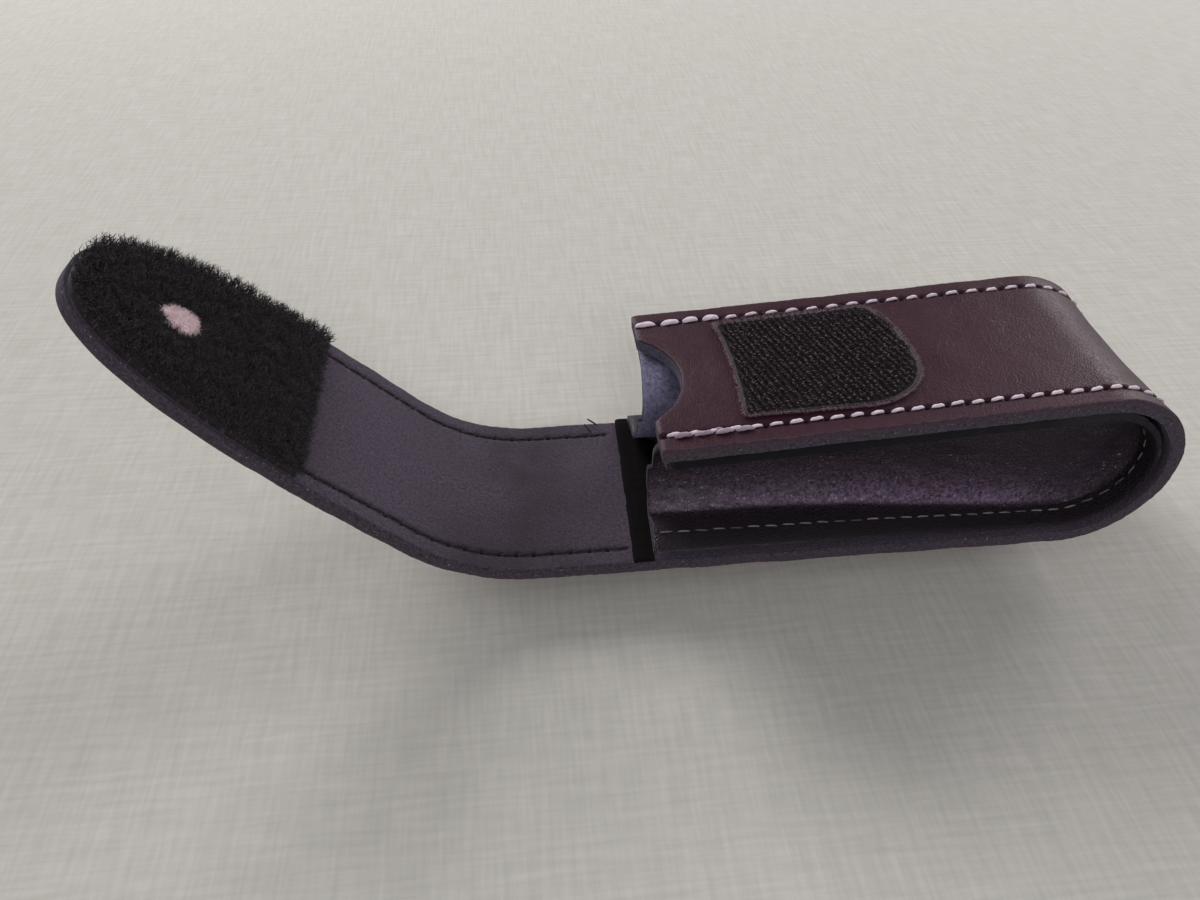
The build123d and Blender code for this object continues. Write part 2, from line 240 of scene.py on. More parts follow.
def hills(a, b, size, seed):
    """Smooth hills about `size` apart: nine sine waves in random directions, averaged."""
    rng = np.random.default_rng(seed)
    angle, phase = rng.uniform(0, 2 * pi, (2, 9))
    pace = 2 * pi / size * rng.uniform(0.6, 1.5, 9)
    a, b = np.broadcast_arrays(a, b)
    wave = a[..., None] * np.cos(angle) * pace + b[..., None] * np.sin(angle) * pace + phase
    return np.sin(wave).mean(-1) * 1.6


def bell(distance, reach, power=2):
    """One in the middle, and falling to nothing beyond the reach."""
    return np.exp(-((distance / reach) ** power))


def from_place(s, place, blur):
    """Nothing before a place and one after it, blurred: the logistic curve."""
    return 1 / (1 + np.exp((place - s) / blur))


def rising(x, length):
    """From 0 to 1 over a length, and level outside it."""
    return np.clip(x / length, 0, 1)


def ease(share):
    """From 0 to 1, level at both ends."""
    return share * share * (3 - 2 * share)


def flowing(controls, count):
    """A smooth line near a few control points: a uniform cubic B-spline whose end points are
    repeated so that it reaches them. Controls are (..., points, values)."""
    ends = np.concatenate([controls[..., :1, :]] * 2 + [controls] + [controls[..., -1:, :]] * 2, -2)
    t = np.linspace(0, ends.shape[-2] - 3 - 1e-9, count)
    k = t.astype(int)
    f = (t - k)[:, None]
    weights = [(1 - f) ** 3, 3 * f**3 - 6 * f**2 + 4, -3 * f**3 + 3 * f**2 + 3 * f + 1, f**3]
    return sum(w * ends[..., k + n, :] for n, w in enumerate(weights)) / 6


# %% [markdown]
# ## Nodes in a few words
# A procedural material is a small machine of nodes. These helpers add a node, set its values
# and plug in its inputs in one line, so that the recipes below read as recipes. Colours are
# written as the eye sees them on a screen, and turned into light values once.

# %% Helpers for materials
def tone(red, green, blue):
    """A screen colour from 0 to 255 as linear light: the sRGB curve undone."""
    c = np.array([red, green, blue]) / 255
    linear = np.where(c <= 0.04045, c / 12.92, ((c + 0.055) / 1.055) ** 2.4)
    return (*linear.tolist(), 1.0)


def plug(tree, node, inputs=None, **named):
    """Sets inputs, by name or number, to a value or to another node's output. In a name that is
    given as an argument, an underscore stands for a space."""
    named = {key.replace("_", " "): value for key, value in named.items()}
    for key, value in {**(inputs or {}), **named}.items():
        if isinstance(value, bpy.types.NodeSocket):
            tree.links.new(value, node.inputs[key])
        else:
            node.inputs[key].default_value = value
    return node


def put(tree, kind, inputs=None, **settings):
    """Adds a shader node with its settings and inputs."""
    node = tree.nodes.new("ShaderNode" + kind)
    for key, value in settings.items():
        setattr(node, key, value)
    return plug(tree, node, inputs)


def noise(tree, place, scale, detail=3.0, roughness=0.55, **more):
    return put(tree, "TexNoise", {"Vector": place, "Scale": scale, "Detail": detail,
                                  "Roughness": roughness, **more}).outputs["Fac"]


def maths(tree, operation, a, b=0.0, clamp=False):
    return put(tree, "Math", {0: a, 1: b}, operation=operation, use_clamp=clamp).outputs[0]


def times(tree, a, b, clamp=False):
    return maths(tree, "MULTIPLY", a, b, clamp)


def weighed(tree, a, share_a, b, share_b):
    """Two values, each times its share, added up."""
    return maths(tree, "ADD", times(tree, a, share_a), times(tree, b, share_b))


def vector(tree, operation, a, inputs):
    return put(tree, "VectorMath", {0: a, **inputs}, operation=operation).outputs[0]


def spread(tree, value, low, high, out_low=0.0, out_high=1.0):
    """Stretches the part of a value between low and high over a new range."""
    return put(tree, "MapRange", {"Value": value, "From Min": low, "From Max": high,
                                  "To Min": out_low, "To Max": out_high}).outputs["Result"]


def mix(tree, share, first, second):
    """Blends two colours by a share from 0 to 1."""
    return put(tree, "Mix", {0: share, 6: first, 7: second}, data_type="RGBA").outputs[2]


def tint(tree, shader, share, colour):
    """Blends a colour over the one that the shader has so far."""
    before = shader.inputs["Base Color"].links[0].from_socket
    plug(tree, shader, Base_Color=mix(tree, share, before, colour))


def mark(tree, name):
    """A number that the mesh carries on its points."""
    return put(tree, "Attribute", attribute_name=name).outputs["Fac"]


def stretched(tree, place, scale, turn=0.0):
    turned = (0, 0, turn)
    return put(tree, "Mapping", {"Vector": place, "Rotation": turned, "Scale": scale}).outputs[0]


def shaken(tree, place, scale, reach):
    """Places moved about by a noise, so that a pattern drawn on them isn't regular."""
    push = put(tree, "TexNoise", {"Vector": place, "Scale": scale}).outputs["Color"]
    return vector(tree, "ADD", place, {1: vector(tree, "SCALE", push, {3: reach})})


def bump(tree, height, distance, strength=1.0):
    return put(tree, "Bump", {"Height": height, "Distance": distance,
                              "Strength": strength}).outputs[0]


def shader_group(name, sizes, outputs):
    """A node group that takes a place and some sizes, given with defaults, and puts out numbers."""
    tree = bpy.data.node_groups.new(name, "ShaderNodeTree")
    tree.interface.new_socket("Place", in_out="INPUT", socket_type="NodeSocketVector")
    for label, default in sizes.items():
        socket = tree.interface.new_socket(label, in_out="INPUT", socket_type="NodeSocketFloat")
        socket.default_value = default
    for label in outputs:
        tree.interface.new_socket(label, in_out="OUTPUT", socket_type="NodeSocketFloat")
    return tree, tree.nodes.new("NodeGroupInput").outputs, tree.nodes.new("NodeGroupOutput")


def use_group(tree, group, **inputs):
    return plug(tree, put(tree, "Group", node_tree=group), **inputs).outputs


def new_material(name, solid=False):
    """A material with a Principled shader. Its place is the flat map, or for a piece that never
    bends the solid space that it sits in."""
    material = bpy.data.materials.new(name)
    material.use_nodes = True
    tree = material.node_tree
    if solid:
        place = put(tree, "TexCoord").outputs["Object"]
    else:
        place = put(tree, "UVMap", uv_map="flat").outputs[0]
    return material, tree, tree.nodes["Principled BSDF"], place


# %% [markdown]
# ## Shared effects as node groups
# The same few effects come back in several materials. Smooth leather has a grain: cells with
# fine creases between them. Its flesh side and its cut edge have a nap of short fibres. Cloth
# is woven. Each effect is one group that puts out masks and heights only, and each material
# sets its own sizes on it.

# %% Group: leather grain
grain_group, ins, outs = shader_group(
    "leather_grain", {"Cell": 1500.0, "Crease": 300.0}, ("Height", "Mottle", "Pores"))
g = grain_group
warped = shaken(g, ins["Place"], 260.0, 0.0011)
cells = put(g, "TexVoronoi", {"Vector": warped, "Scale": ins["Cell"], "Randomness": 1.0},
            feature="DISTANCE_TO_EDGE").outputs["Distance"]
creases = noise(g, warped, ins["Crease"], 5.0, 0.62)
creases = spread(g, maths(g, "ABSOLUTE", maths(g, "SUBTRACT", creases, 0.5)), 0.0, 0.06)
plug(g, outs, Height=weighed(g, spread(g, cells, 0.0, 0.22), 0.55, creases, 0.45),
     Mottle=noise(g, ins["Place"], 90.0, 4.0),
     Pores=spread(g, noise(g, warped, ins["Cell"], 2.0), 0.36, 0.3))

# %% Group: nap of the flesh side and the cut edge
nap_group, ins, outs = shader_group(
    "suede_nap", {"Fibre": 1600.0, "Clump": 260.0}, ("Height", "Shade", "Specks"))
g = nap_group
fine = noise(g, ins["Place"], ins["Fibre"], 4.0, 0.7, Distortion=0.6)
clump = noise(g, ins["Place"], ins["Clump"], 5.0, 0.65, Distortion=0.4)
both = weighed(g, fine, 0.5, clump, 0.5)
ends = noise(g, ins["Place"], times(g, ins["Fibre"], 0.9), 1.0)
plug(g, outs, Height=both, Shade=spread(g, both, 0.36, 0.64), Specks=spread(g, ends, 0.68, 0.74))

# %% Group: cloth weave
weave_group, ins, outs = shader_group("cloth_weave", {"Threads": 2500.0}, ("Height", "Slub"))
g = weave_group
full_wave = 6.2832
bands = maths(g, "DIVIDE", ins["Threads"], full_wave)
woven = shaken(g, ins["Place"], 300.0, 0.0005)
warp, weft = (put(g, "TexWave", {"Vector": woven, "Scale": bands},
                  bands_direction=way).outputs["Fac"] for way in "XY")
slub_x, slub_y = (noise(g, stretched(g, ins["Place"], scale), 900.0, 3.0)
                  for scale in ((0.08, 1.0, 1.0), (1.0, 0.08, 1.0)))
plug(g, outs, Height=maths(g, "MAXIMUM", warp, weft), Slub=weighed(g, slub_x, 0.5, slub_y, 0.5))
print("groups:", [n.name for n in bpy.data.node_groups])

# %% [markdown]
# ## The leather's faces
# A hide isn't the same all round. Outside it is finished: brown with a purple cast, smooth,
# with a soft shine. Inside is the flesh side, a purple-grey suede with no shine at all. The
# edges are cut raw, so they show packed fibres, and the notch's edge has the lightest tone.
# The mesh carries marks that change these finishes: a hole mark round each stitch hole, which
# on the gussets is painted shade over the flange and along the rim; a rub mark near an edge,
# which on the gussets is a painted highlight band; `deep` through the leather's thickness;
# and a fold mark, painted shade on the flesh side where the flap folds.

# %% Finishes of the leather
def smooth_leather(name, dark, light, rough, cell, crease, depth, shine, solid=False):
    """Dyed grain leather: two tones mottled together, darker in pores and stitch holes, lighter
    and duller where it is rubbed. On a gusset the hole mark is painted shade over the flange
    and rim, and the rub mark is a painted highlight band."""
    material, t, shader, place = new_material(name, solid)
    grain = use_group(t, grain_group, Place=place, Cell=cell, Crease=crease)
    hole_and_shade, rub_and_sheen = mark(t, "hole_and_shade"), mark(t, "rub_and_sheen")
    pore_tone, rub_and_sheen_tone = [v * 0.55 for v in dark], [min(255, v * 1.5) for v in light]
    colour = mix(t, grain["Mottle"], tone(*dark), tone(*light))
    colour = mix(t, times(t, grain["Pores"], 0.35), colour, tone(*pore_tone))
    # Lighter where rubbed near an edge; on a gusset the same mark paints a highlight band.
    colour = mix(t, times(t, rub_and_sheen, 0.3, clamp=True), colour, tone(*rub_and_sheen_tone))
    roughness = spread(t, grain["Mottle"], 0.3, 0.7, rough - 0.05, rough + 0.07)
    dull = weighed(t, rub_and_sheen, 0.1, hole_and_shade, 0.4)
    # Darkened in stitch holes; on a gusset the same mark paints shade over the flange and rim.
    plug(t, shader, Base_Color=mix(t, hole_and_shade, colour, tone(8, 6, 8)),
         Roughness=maths(t, "ADD", roughness, dull, clamp=True), Specular_IOR_Level=shine,
         Normal=bump(t, grain["Height"], depth))
    return material, t, shader, place


def suede(name, dark, light, fibre, clump, depth, speck, solid=False, skin=None, fold_shade_tone=None):
    """Raw leather: a matt nap whose clumps go from dark to light, with a few light fibre ends. On
    a cut edge, the dye of the outer skin reaches in a little way. Where the flap folds, a patchy
    painted shade darkens the nap."""
    material, t, shader, place = new_material(name, solid)
    nap = use_group(t, nap_group, Place=place, Fibre=fibre, Clump=clump)
    colour = mix(t, nap["Shade"], tone(*dark), tone(*light))
    colour = mix(t, times(t, nap["Specks"], 0.6), colour, tone(*speck))
    if skin:
        colour = mix(t, spread(t, mark(t, "deep"), 0.5, 0.1, 0.0, 0.7), colour, tone(*skin))
    # Patchy painted shade where the flap folds.
    if fold_shade_tone:
        patchy = spread(t, noise(t, place, 60.0, 3.0), 0.35, 0.65, 0.25, 0.8)
        colour = mix(t, times(t, mark(t, "fold_shade"), patchy), colour, tone(*fold_shade_tone))
    # Darkened in stitch holes; on a gusset's flesh side and rim the same mark is painted shade.
    plug(t, shader, Base_Color=mix(t, mark(t, "hole_and_shade"), colour, tone(12, 10, 13)), Roughness=0.95,
         Specular_IOR_Level=0.25, Sheen_Weight=0.25, Sheen_Roughness=0.5,
         Sheen_Tint=tone(170, 160, 180), Normal=bump(t, nap["Height"], depth))
    return material


outer_leather, t, shader, place = smooth_leather(
    "outer_leather", (43, 19, 28), (64, 34, 46), 0.42, 1500.0, 520.0, 0.00004, 0.2)
plug(t, shader, Specular_Tint=(1.0, 0.8, 0.9, 1.0))
# The flesh side's fold tone is painted shade where the flap folds.
flesh_side = suede("flesh_side", (46, 39, 48), (94, 82, 98), 3000.0, 1500.0, 0.0003,
                   (146, 134, 148), fold_shade_tone=(46, 35, 41))
cut_edge = suede("cut_edge", (28, 24, 30), (84, 76, 88), 2000.0, 1300.0, 0.0005,
                 (160, 154, 166), skin=(74, 52, 62))
mouth_edge = suede("mouth_edge", (48, 46, 58), (106, 103, 124), 1800.0, 900.0, 0.0003,
                   (150, 146, 162))
strip_finishes = [outer_leather, flesh_side, cut_edge, mouth_edge]
OUTER, FLESH, CUT, MOUTH = range(4)
print("leather finishes:", [m.name for m in strip_finishes])

# %% [markdown]
# A fingernail has scratched the front near the bend. It is no more than a pale thread of
# raised finish, so it is a mask: the flat map is moved to the scratch's middle, turned along
# it and squeezed, until the scratch is the circle of radius one.

# %% A scratch on the front
scratch_at, scratch_size = (70.5 * mm, 5.0 * mm), (1.9 * mm, 0.09 * mm)
scratch_turn = np.radians(-33)
moved = vector(t, "SUBTRACT", place, {1: (*scratch_at, 0)})
turned = put(t, "VectorRotate", {"Vector": moved, "Angle": -scratch_turn},
             rotation_type="Z_AXIS").outputs[0]
squeezed = vector(t, "MULTIPLY", turned, {1: (1 / scratch_size[0], 1 / scratch_size[1], 0)})
reach = put(t, "VectorMath", {0: squeezed}, operation="LENGTH").outputs["Value"]
tint(t, shader, times(t, spread(t, reach, 1.0, 0.3), 0.5), tone(150, 132, 138))
print("scratch at mm", in_mm(scratch_at))

# %% [markdown]
# ## The strip of leather
# One strip, 2.9 mm thick, is the front, the bend, the back and the flap. Its cross-section is
# a closed loop: across the outer face, round one cut edge, back across the flesh side, and
# round the other edge. Carried along the strip's line, that loop is the whole leather. The
# columns are close together where the stitches sink in, and all rows are close enough to draw
# a stitch hole wherever it falls. The two seams were sewn one after the other, and the far
# one has the longer stitches.

# %% The strip's cross-section
def section_loop(columns, half, share, inset):
    """A cross-section, once round it: where each point lies across and how deep it is, and the
    finish from each point to the next."""
    face = 0 * columns
    y = np.concatenate([columns, half - inset, columns[::-1], inset[::-1] - half, columns[:1]])
    deep = np.concatenate([face, share, face + 1, share[::-1], [0]])
    cut = np.full(len(share) + 1, CUT)
    return y, deep, np.concatenate([face[1:] + OUTER, cut, face[1:] + FLESH, cut])


def section_levels(columns, half, share, inset, outermost):
    """The same cross-section as a row of points for each level through the thickness."""
    share = np.concatenate([[0], share, [1]])[:, None]
    inset = np.concatenate([[outermost], inset, [outermost]])[:, None]
    return np.concatenate([inset - half, columns + 0 * inset, half - inset], 1), share


taper_length = 64 * mm
fullness = 2.54
taper_start = tip - taper_length
face_inset = 0.4 * mm
middle = np.linspace(-15.3, 15.3, 25) * mm
beside = np.array([15.9, 16.3, 16.6, 16.85, 17.0, 17.15, 17.4, 17.7, 18.2, 19.0, 19.8, 20.3]) * mm
half_columns = np.concatenate([beside, [half_width - face_inset]])
across = np.concatenate([-half_columns[::-1], middle, half_columns])
edge_share = np.array([0.03, 0.14, 0.34, 0.5, 0.66, 0.86, 0.97])
edge_inset = np.array([0.12, 0.0, 0.0, 0.0, 0.0, 0.0, 0.1]) * mm
loop_y, loop_share, loop_finish = section_loop(across, half_width, edge_share, 0 * edge_inset)
on_face = np.full(len(across), face_inset)
loop_inset = np.concatenate([on_face, edge_inset, on_face, edge_inset[::-1], on_face[:1]])
skin_y = loop_y - np.sign(loop_y) * loop_inset
loop_flat = np.cumsum(np.hypot(np.diff(skin_y), np.diff(loop_share) * leather))
loop_flat = np.concatenate([[0], loop_flat]) - half_width
first_hole = {-1: 0.87 * mm, 1: 1.1 * mm}
seam_pitch = {-1: 3.65 * mm, 1: 4.2 * mm}
row_step = 0.42 * mm
seam_stop = tongue_start + 25.5 * mm
print("loop points:", len(loop_y))

# %% [markdown]
# Relief turns the plain band into leather that has been sewn, bent and carried: a groove
# under the thread, a pit at each hole, a soft hollow where the bend has drawn the skin in
# between its edges, a rounded lip at the mouth, and hands' wear in slow, shallow waves.

# %% Relief of the leather
notch_half, notch_deep = 12.3 * mm, 6.7 * mm
notch_radius = (notch_half**2 + notch_deep**2) / (2 * notch_deep)
notch_fade = 24 * mm
outer_groove, outer_pit, outer_lip, outer_wear = 0.26 * mm, 0.5 * mm, 0.3 * mm, 0.07 * mm
inner_groove, inner_pit, inner_lip, inner_wear = 0.3 * mm, 0.45 * mm, 0.2 * mm, 0.06 * mm
lip_reach = 0.3 * mm
hollow_deep, hollow_at, hollow_reach = 1.0 * mm, front_run + 0.42 * bend_run, 21 * mm
edge_sway, edge_ragged = 0.16 * mm, 0.09 * mm
# Where the flap folds: the middle and reach of the painted shade on its flesh side.
fold_shade_middle, fold_shade_reach = back_mouth + 27 * mm, 17 * mm


def seam_relief(s, y):
    """Depth of the groove under a seam, and how near a stitch hole is, both as bell curves of
    the distance to the seam line and to the nearest hole."""
    off = np.abs(y) - seam_y
    pitch = np.where(y < 0, seam_pitch[-1], seam_pitch[1])
    along = (s - np.where(y < 0, first_hole[-1], first_hole[1])) / pitch
    near = (along - np.round(along)) * pitch
    sewn = from_place(s, seam_stop, -0.2 * mm)
    hole_and_shade = bell(near, 0.5 * mm, 4) * bell(off, 0.46 * mm, 4) * sewn
    return bell(off, 0.62 * mm) * sewn, hole_and_shade


def leather_point(s, y, share, wobble=True):
    """A point of the strip with its relief. `share` goes from 0 on the outer face to 1 on the
    flesh side, and the relief of the two faces fades into each other through the thickness."""
    s, y, share = np.broadcast_arrays(s, y, share)
    groove, hole_and_shade = seam_relief(s, y)
    lip = np.exp(-s / lip_reach)
    flap = from_place(s, back_mouth + 5 * mm, 0.6 * mm)
    outer = (outer_groove * groove + outer_pit * hole_and_shade + outer_lip * lip
             + outer_wear * hills(s, y, 13 * mm, 4))
    inner = (inner_wear * hills(s, y, 9 * mm, 5) - inner_lip * lip
             - flap * (inner_groove * groove + inner_pit * hole_and_shade))
    drawn = hollow_deep * bell(s - hollow_at, hollow_reach) * (1 - (y / half_width) ** 2)
    depth = leather * share + (1 - share) * outer + share * inner + drawn
    notch = np.sqrt(np.maximum(notch_radius**2 - y**2, 0)) - (notch_radius - notch_deep)
    moved = s + np.maximum(notch, 0) * np.clip(1 - s / notch_fade, 0, 1) ** 2
    side = np.abs(y) > half_width - 1.2 * mm
    sway = (edge_sway * hills(s, np.sign(y) * 0.05, 11 * mm, 6)
            + edge_ragged * hills(s, share * leather, 1.1 * mm, 7))
    return strip_point(moved, y + wobble * side * sway, depth), hole_and_shade


def fold_shade_share(s):
    """How much painted shade lies on the flesh side where the flap folds."""
    return bell(s - fold_shade_middle, fold_shade_reach)


def strip_rows(start, stop):
    """Places along the strip, close enough together to draw a stitch hole."""
    return np.linspace(start, stop, int((stop - start) / row_step) + 1)


def narrowing(t):
    """The strip's half width as a share of the whole, on the way t to the round tip."""
    return (1 - t**fullness) ** (1 / fullness)


def leather_body(rows):
    """The cross-section loop carried along the rows, drawn in towards the round tip."""
    rows = rows[:, None]
    t = rising(rows - taper_start, taper_length)
    s = rows - loop_inset * t
    y = np.sign(loop_y) * np.minimum(np.abs(loop_y), half_width - loop_inset) * narrowing(t)
    points, hole_and_shade = leather_point(s, y, loop_share)
    rub_and_sheen = np.exp(-(half_width * narrowing(t) - np.abs(y)) / (0.7 * mm))
    marks = {"hole_and_shade": hole_and_shade, "rub_and_sheen": np.clip(rub_and_sheen, 0, 1), "deep": loop_share, "fold_shade": fold_shade_share(rows)}
    return patch(points, grid(s, loop_flat), loop_finish, marks)


def leather_end(s, notch_finish=CUT):
    """Closes the strip at s: one row of points for each level through the thickness, whose two
    outermost points are the cut edges' own. Between the notch's ends it can have a finish of its
    own."""
    y, share = section_levels(across, half_width, edge_share, edge_inset, face_inset)
    points, _ = leather_point(s, y, share)
    in_notch = np.abs((y[0, 1:] + y[0, :-1]) / 2) < notch_half
    marks = {"hole_and_shade": 0.0, "rub_and_sheen": 0.0, "deep": share, "fold_shade": fold_shade_share(s)}
    return patch(points, grid(s + share * leather, y), np.where(in_notch, notch_finish, CUT), marks)


# %% The strip, to the middle of the flap's crown
split = back_mouth + 19 * mm
pouch_leather = make_piece(
    "pouch_leather",
    [leather_body(strip_rows(0, split)), leather_end(0, MOUTH), leather_end(split)],
    strip_finishes, crisp=50)

# %% The flap's leather, from there to the round tip
closing = tip - taper_length * (1 - np.sin(np.linspace(0, 1, 40) * pi / 2))
sewn_rows = strip_rows(split, seam_stop + 2 * mm)
flap_rows = np.concatenate([sewn_rows, closing[closing > sewn_rows[-1] + 0.3 * mm]])
flap_leather = make_piece(
    "flap_leather", [leather_end(split), leather_body(flap_rows)],
    strip_finishes[:MOUTH], crisp=50)
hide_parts("main_strip", "flap_crown")
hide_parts("flap_tongue")

# %% [markdown]
# The flap bends at two places: where the strip leaves the mouth, and in the flap's middle.
# Here each piece only has its placement baked into its points; nothing turns it.


def bend_with_flap(piece, beyond_split):
    """Bakes the piece's placement into its points, before the split and beyond it alike."""
    if beyond_split:
        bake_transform(piece)
    else:
        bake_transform(piece)


bend_with_flap(pouch_leather, False)
bend_with_flap(flap_leather, True)

# %% [markdown]
# ## The gussets
# Each side is a tray of thin black leather, grain side out. Its flange lies against the strip
# and is sewn to it, then the leather creases and crosses to the other flange, bellying into
# the pocket because nothing holds it out. The surface is a ring of profiles: each one starts
# at the strip's inner face, runs in along it, turns at the crease, and climbs to the middle
# line of the side, where it meets the profile from the opposite flange. Round the bend, all
# of them meet at the bend's centre. The wall gets its thickness from a Solidify modifier,
# towards the pocket.

# %% Finishes of the gussets
gusset_grain, t, shader, place = smooth_leather(
    "gusset_grain", (11, 6, 11), (24, 14, 24), 0.33, 1400.0, 620.0, 0.0002, 0.5, True)
# On a gusset the rub mark is a painted highlight band: a crinkled light purple sheen over the
# grain.
crinkled_highlight = spread(t, noise(t, place, 1300.0, 5.0, 0.75), 0.4, 0.6, 0.1, 1.0)
tint(t, shader, times(t, mark(t, "rub_and_sheen"), crinkled_highlight), tone(150, 126, 158))
plug(t, shader, Specular_Tint=(1.0, 0.82, 1.0, 1.0), Coat_Weight=0.22, Coat_Roughness=0.36,
     Coat_Tint=(1.0, 0.88, 1.0, 1.0))
gusset_flesh = suede("gusset_flesh", (92, 90, 114), (176, 172, 202), 2300.0, 1100.0, 0.0003,
                     (170, 166, 188), True)
gusset_rim = suede("gusset_rim", (18, 15, 19), (64, 58, 66), 2500.0, 1200.0, 0.00015,
                   (170, 160, 172), True)

# %% [markdown]
# A profile is a smooth line over eight control points, and two tables place them. One says how
# far in from the strip's edge each lies, as shares of the rim's, the crease's and the middle
# line's distance. The other says how high off the strip's inner face: so many millimetres, so
# many more where the tray is lifted towards the mouth, and a share of the way to the middle.

# %% A gusset as a ring of profiles
gusset_wall = 1.3 * mm
flange_rise = 2.1 * mm
profile_in = np.array([(1, 0, 0), (0, 0.5, 0), (0, 0.92, 0), (0, 1.02, 0), (0, 0.58, 0.42),
                       (0, 0.15, 0.85), (0, 0, 1), (0, 0, 1)])
profile_up = np.array([(0.3, 0, 0), (0, 2.1, 0), (0, 2.5, 0), (0.3, 2.6, 0), (1.9, 3.2, 0),
                       (0, 3.6, 0.33), (0, 0, 0.8), (0, 0, 1)]) * (mm, mm, 1)
belly, ripple = 0.28 * mm, 0.12 * mm
mid_row = 150


def fading(x, at_mouth, at_bend):
    """A size that changes between the mouth and the bend, level at both ends."""
    share = ease(rising(x - mouth_x, bend_x - mouth_x) ** 1.6)
    return at_mouth + (at_bend - at_mouth) * share


def gusset_surface(hand, crease, middle_depth, seed):
    """Rows go round the pouch from the front's mouth to the back's, and columns from the strip's
    edge to the middle line. Gives the points, the flat map, a painted shade over the flange and
    along the rim, and a painted highlight: a band past the crease, strongest towards the bend."""
    flat_run = bend_x - mouth_x
    rows = np.concatenate([np.linspace(0.9 * mm, front_run, 110),
                           front_run + bend_run * np.linspace(0, 1, 70)[1:],
                           back_start + flat_run * np.linspace(0, 1, 110)[1:]])
    x, z, heading = along_strip(rows)
    foot_x, foot_z = x + leather * np.sin(heading), z - leather * np.cos(heading)
    mid_x = np.minimum(x, bend_x)
    front_z = tangent_z + (mid_x - tangent_x) * np.tan(front_slope)
    mid_z = back_z + (np.minimum(front_z, strip_high.z) - back_z) / 2
    reach = np.hypot(mid_x - foot_x, mid_z - foot_z)
    edge = 0.35 * mm + 0.12 * mm * hills(rows, rows, 7 * mm, seed)
    lift = 0.15 + 0.85 * fading(foot_x, 1.0, 0.0)
    rim_crease_middle = grid(edge, fading(foot_x, *crease), fading(mid_x, *middle_depth))
    controls = np.stack([rim_crease_middle @ profile_in.T, grid(1, lift, reach) @ profile_up.T], -1)
    d, up = np.moveaxis(flowing(controls, 60), -1, 0)
    foot_x, foot_z, mid_x, mid_z, reach, edge, lift, nx, nz, s = (v[:, None] for v in (
        foot_x, foot_z, mid_x, mid_z, reach, edge, lift, np.sin(heading), -np.cos(heading), rows))
    h = up / reach
    rise = rising(up, 3 * mm) * rising(1 - h, 0.25)
    px, pz = foot_x * (1 - h) + mid_x * h, foot_z * (1 - h) + mid_z * h
    flange = flange_rise * np.clip(1 - h, 0, 1) * (1 - 0.3 * np.exp(-d / (0.5 * mm)))
    waves = belly * hills(px, pz, 15 * mm, seed) + ripple * hills(px, pz * 2, 6 * mm, seed + 1)
    d = d + rise * waves
    points = grid(px + nx * flange, hand * (d - half_width), pz + nz * flange)
    flat = grid(s, np.cumsum(np.gradient(d[mid_row]) + np.gradient(up[mid_row])))
    climb = up / mm - 2.3 * lift
    # A painted highlight band on the wall just past the crease, strongest towards the bend.
    painted_highlight = 1.25 * rising(climb - 0.5, 0.9) * np.exp(-np.maximum(climb, 0) / 4.0) * (foot_z < mid_z)
    towards_bend = 0.45 + 0.55 * rising(px - mouth_x, 45 * mm)
    painted_highlight = painted_highlight * towards_bend * rising(bend_x + 14 * mm - px, 25 * mm)
    # Painted shade over the flange and along the rim, weaker at both ends of the rows.
    painted_shade = np.maximum(0.8 * (1 - rising(d - edge, 0.3 * mm)), rising(0.7 - climb, 1))
    return points, flat, np.where((s > 2 * mm) & (s < s[-1] - 1 * mm), 1, 0.3) * painted_shade, painted_highlight


def gusset(name, hand, crease, middle_depth, seed, node):
    """Makes one gusset: the surface, then its wall thickness, with the flesh side inside and a
    raw rim. Gives back the surface's points, for the seam on its flange."""
    surface = gusset_surface(hand, crease, middle_depth, seed)
    points, flat, painted_shade, painted_highlight = (v[:, ::hand] for v in surface)
    piece = make_piece(name, [patch(points, flat, 0, {"hole_and_shade": painted_shade, "rub_and_sheen": painted_highlight})],
                       [gusset_grain, gusset_flesh, gusset_rim], outward=False)
    wall = piece.modifiers.new("wall", "SOLIDIFY")
    wall.thickness, wall.offset = gusset_wall, -1
    wall.material_offset, wall.material_offset_rim = 1, 2
    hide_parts(node)
    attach(piece, "pouch")
    return surface[0]


near_flange = gusset(
    "near_gusset", 1, (8.4 * mm, 5.5 * mm), (12.4 * mm, 7.4 * mm), 20, "gusset_near")
far_flange = gusset(
    "far_gusset", -1, (8.8 * mm, 5.5 * mm), (14.0 * mm, 7.4 * mm), 30, "gusset_far")

# %% [markdown]
# ## Stitches
# The strip is sewn by machine with a thick pale thread. On the outside each stitch is a plump
# grain of thread that rises out of one hole and sinks into the next, slightly slanted, because
# the needle's point twists it. One stitch is a capsule whose cross-section has three lobes,
# the three plies of the thread, turning along its length. All stitches of a seam are worked
# out at once, as one stack of small grids.

# %% Finishes of the threads
def thread(name, clean, soiled_and_shaded, rough, sheen=0.3):
    """Thread: a clean and a darker tone, mixed by a mark that is dirt on most stitches and dirt
    with painted shade on the gussets' flanges, with fine fibres along it.
    """
    material, t, shader, place = new_material(name)
    fibre = noise(t, stretched(t, place, (1.0, 4.0, 1.0), 0.5), 2600.0, 3.0)
    share = maths(t, "ADD", mark(t, "soil_and_shade"), spread(t, fibre, 0.35, 0.75, -0.2, 0.35), clamp=True)
    plug(t, shader, Base_Color=mix(t, share, tone(*clean), tone(*soiled_and_shaded)), Roughness=rough,
         Sheen_Weight=sheen, Normal=bump(t, fibre, 0.00006))
    return material


pale_thread = thread("pale_thread", (236, 220, 234), (150, 128, 142), 0.62)
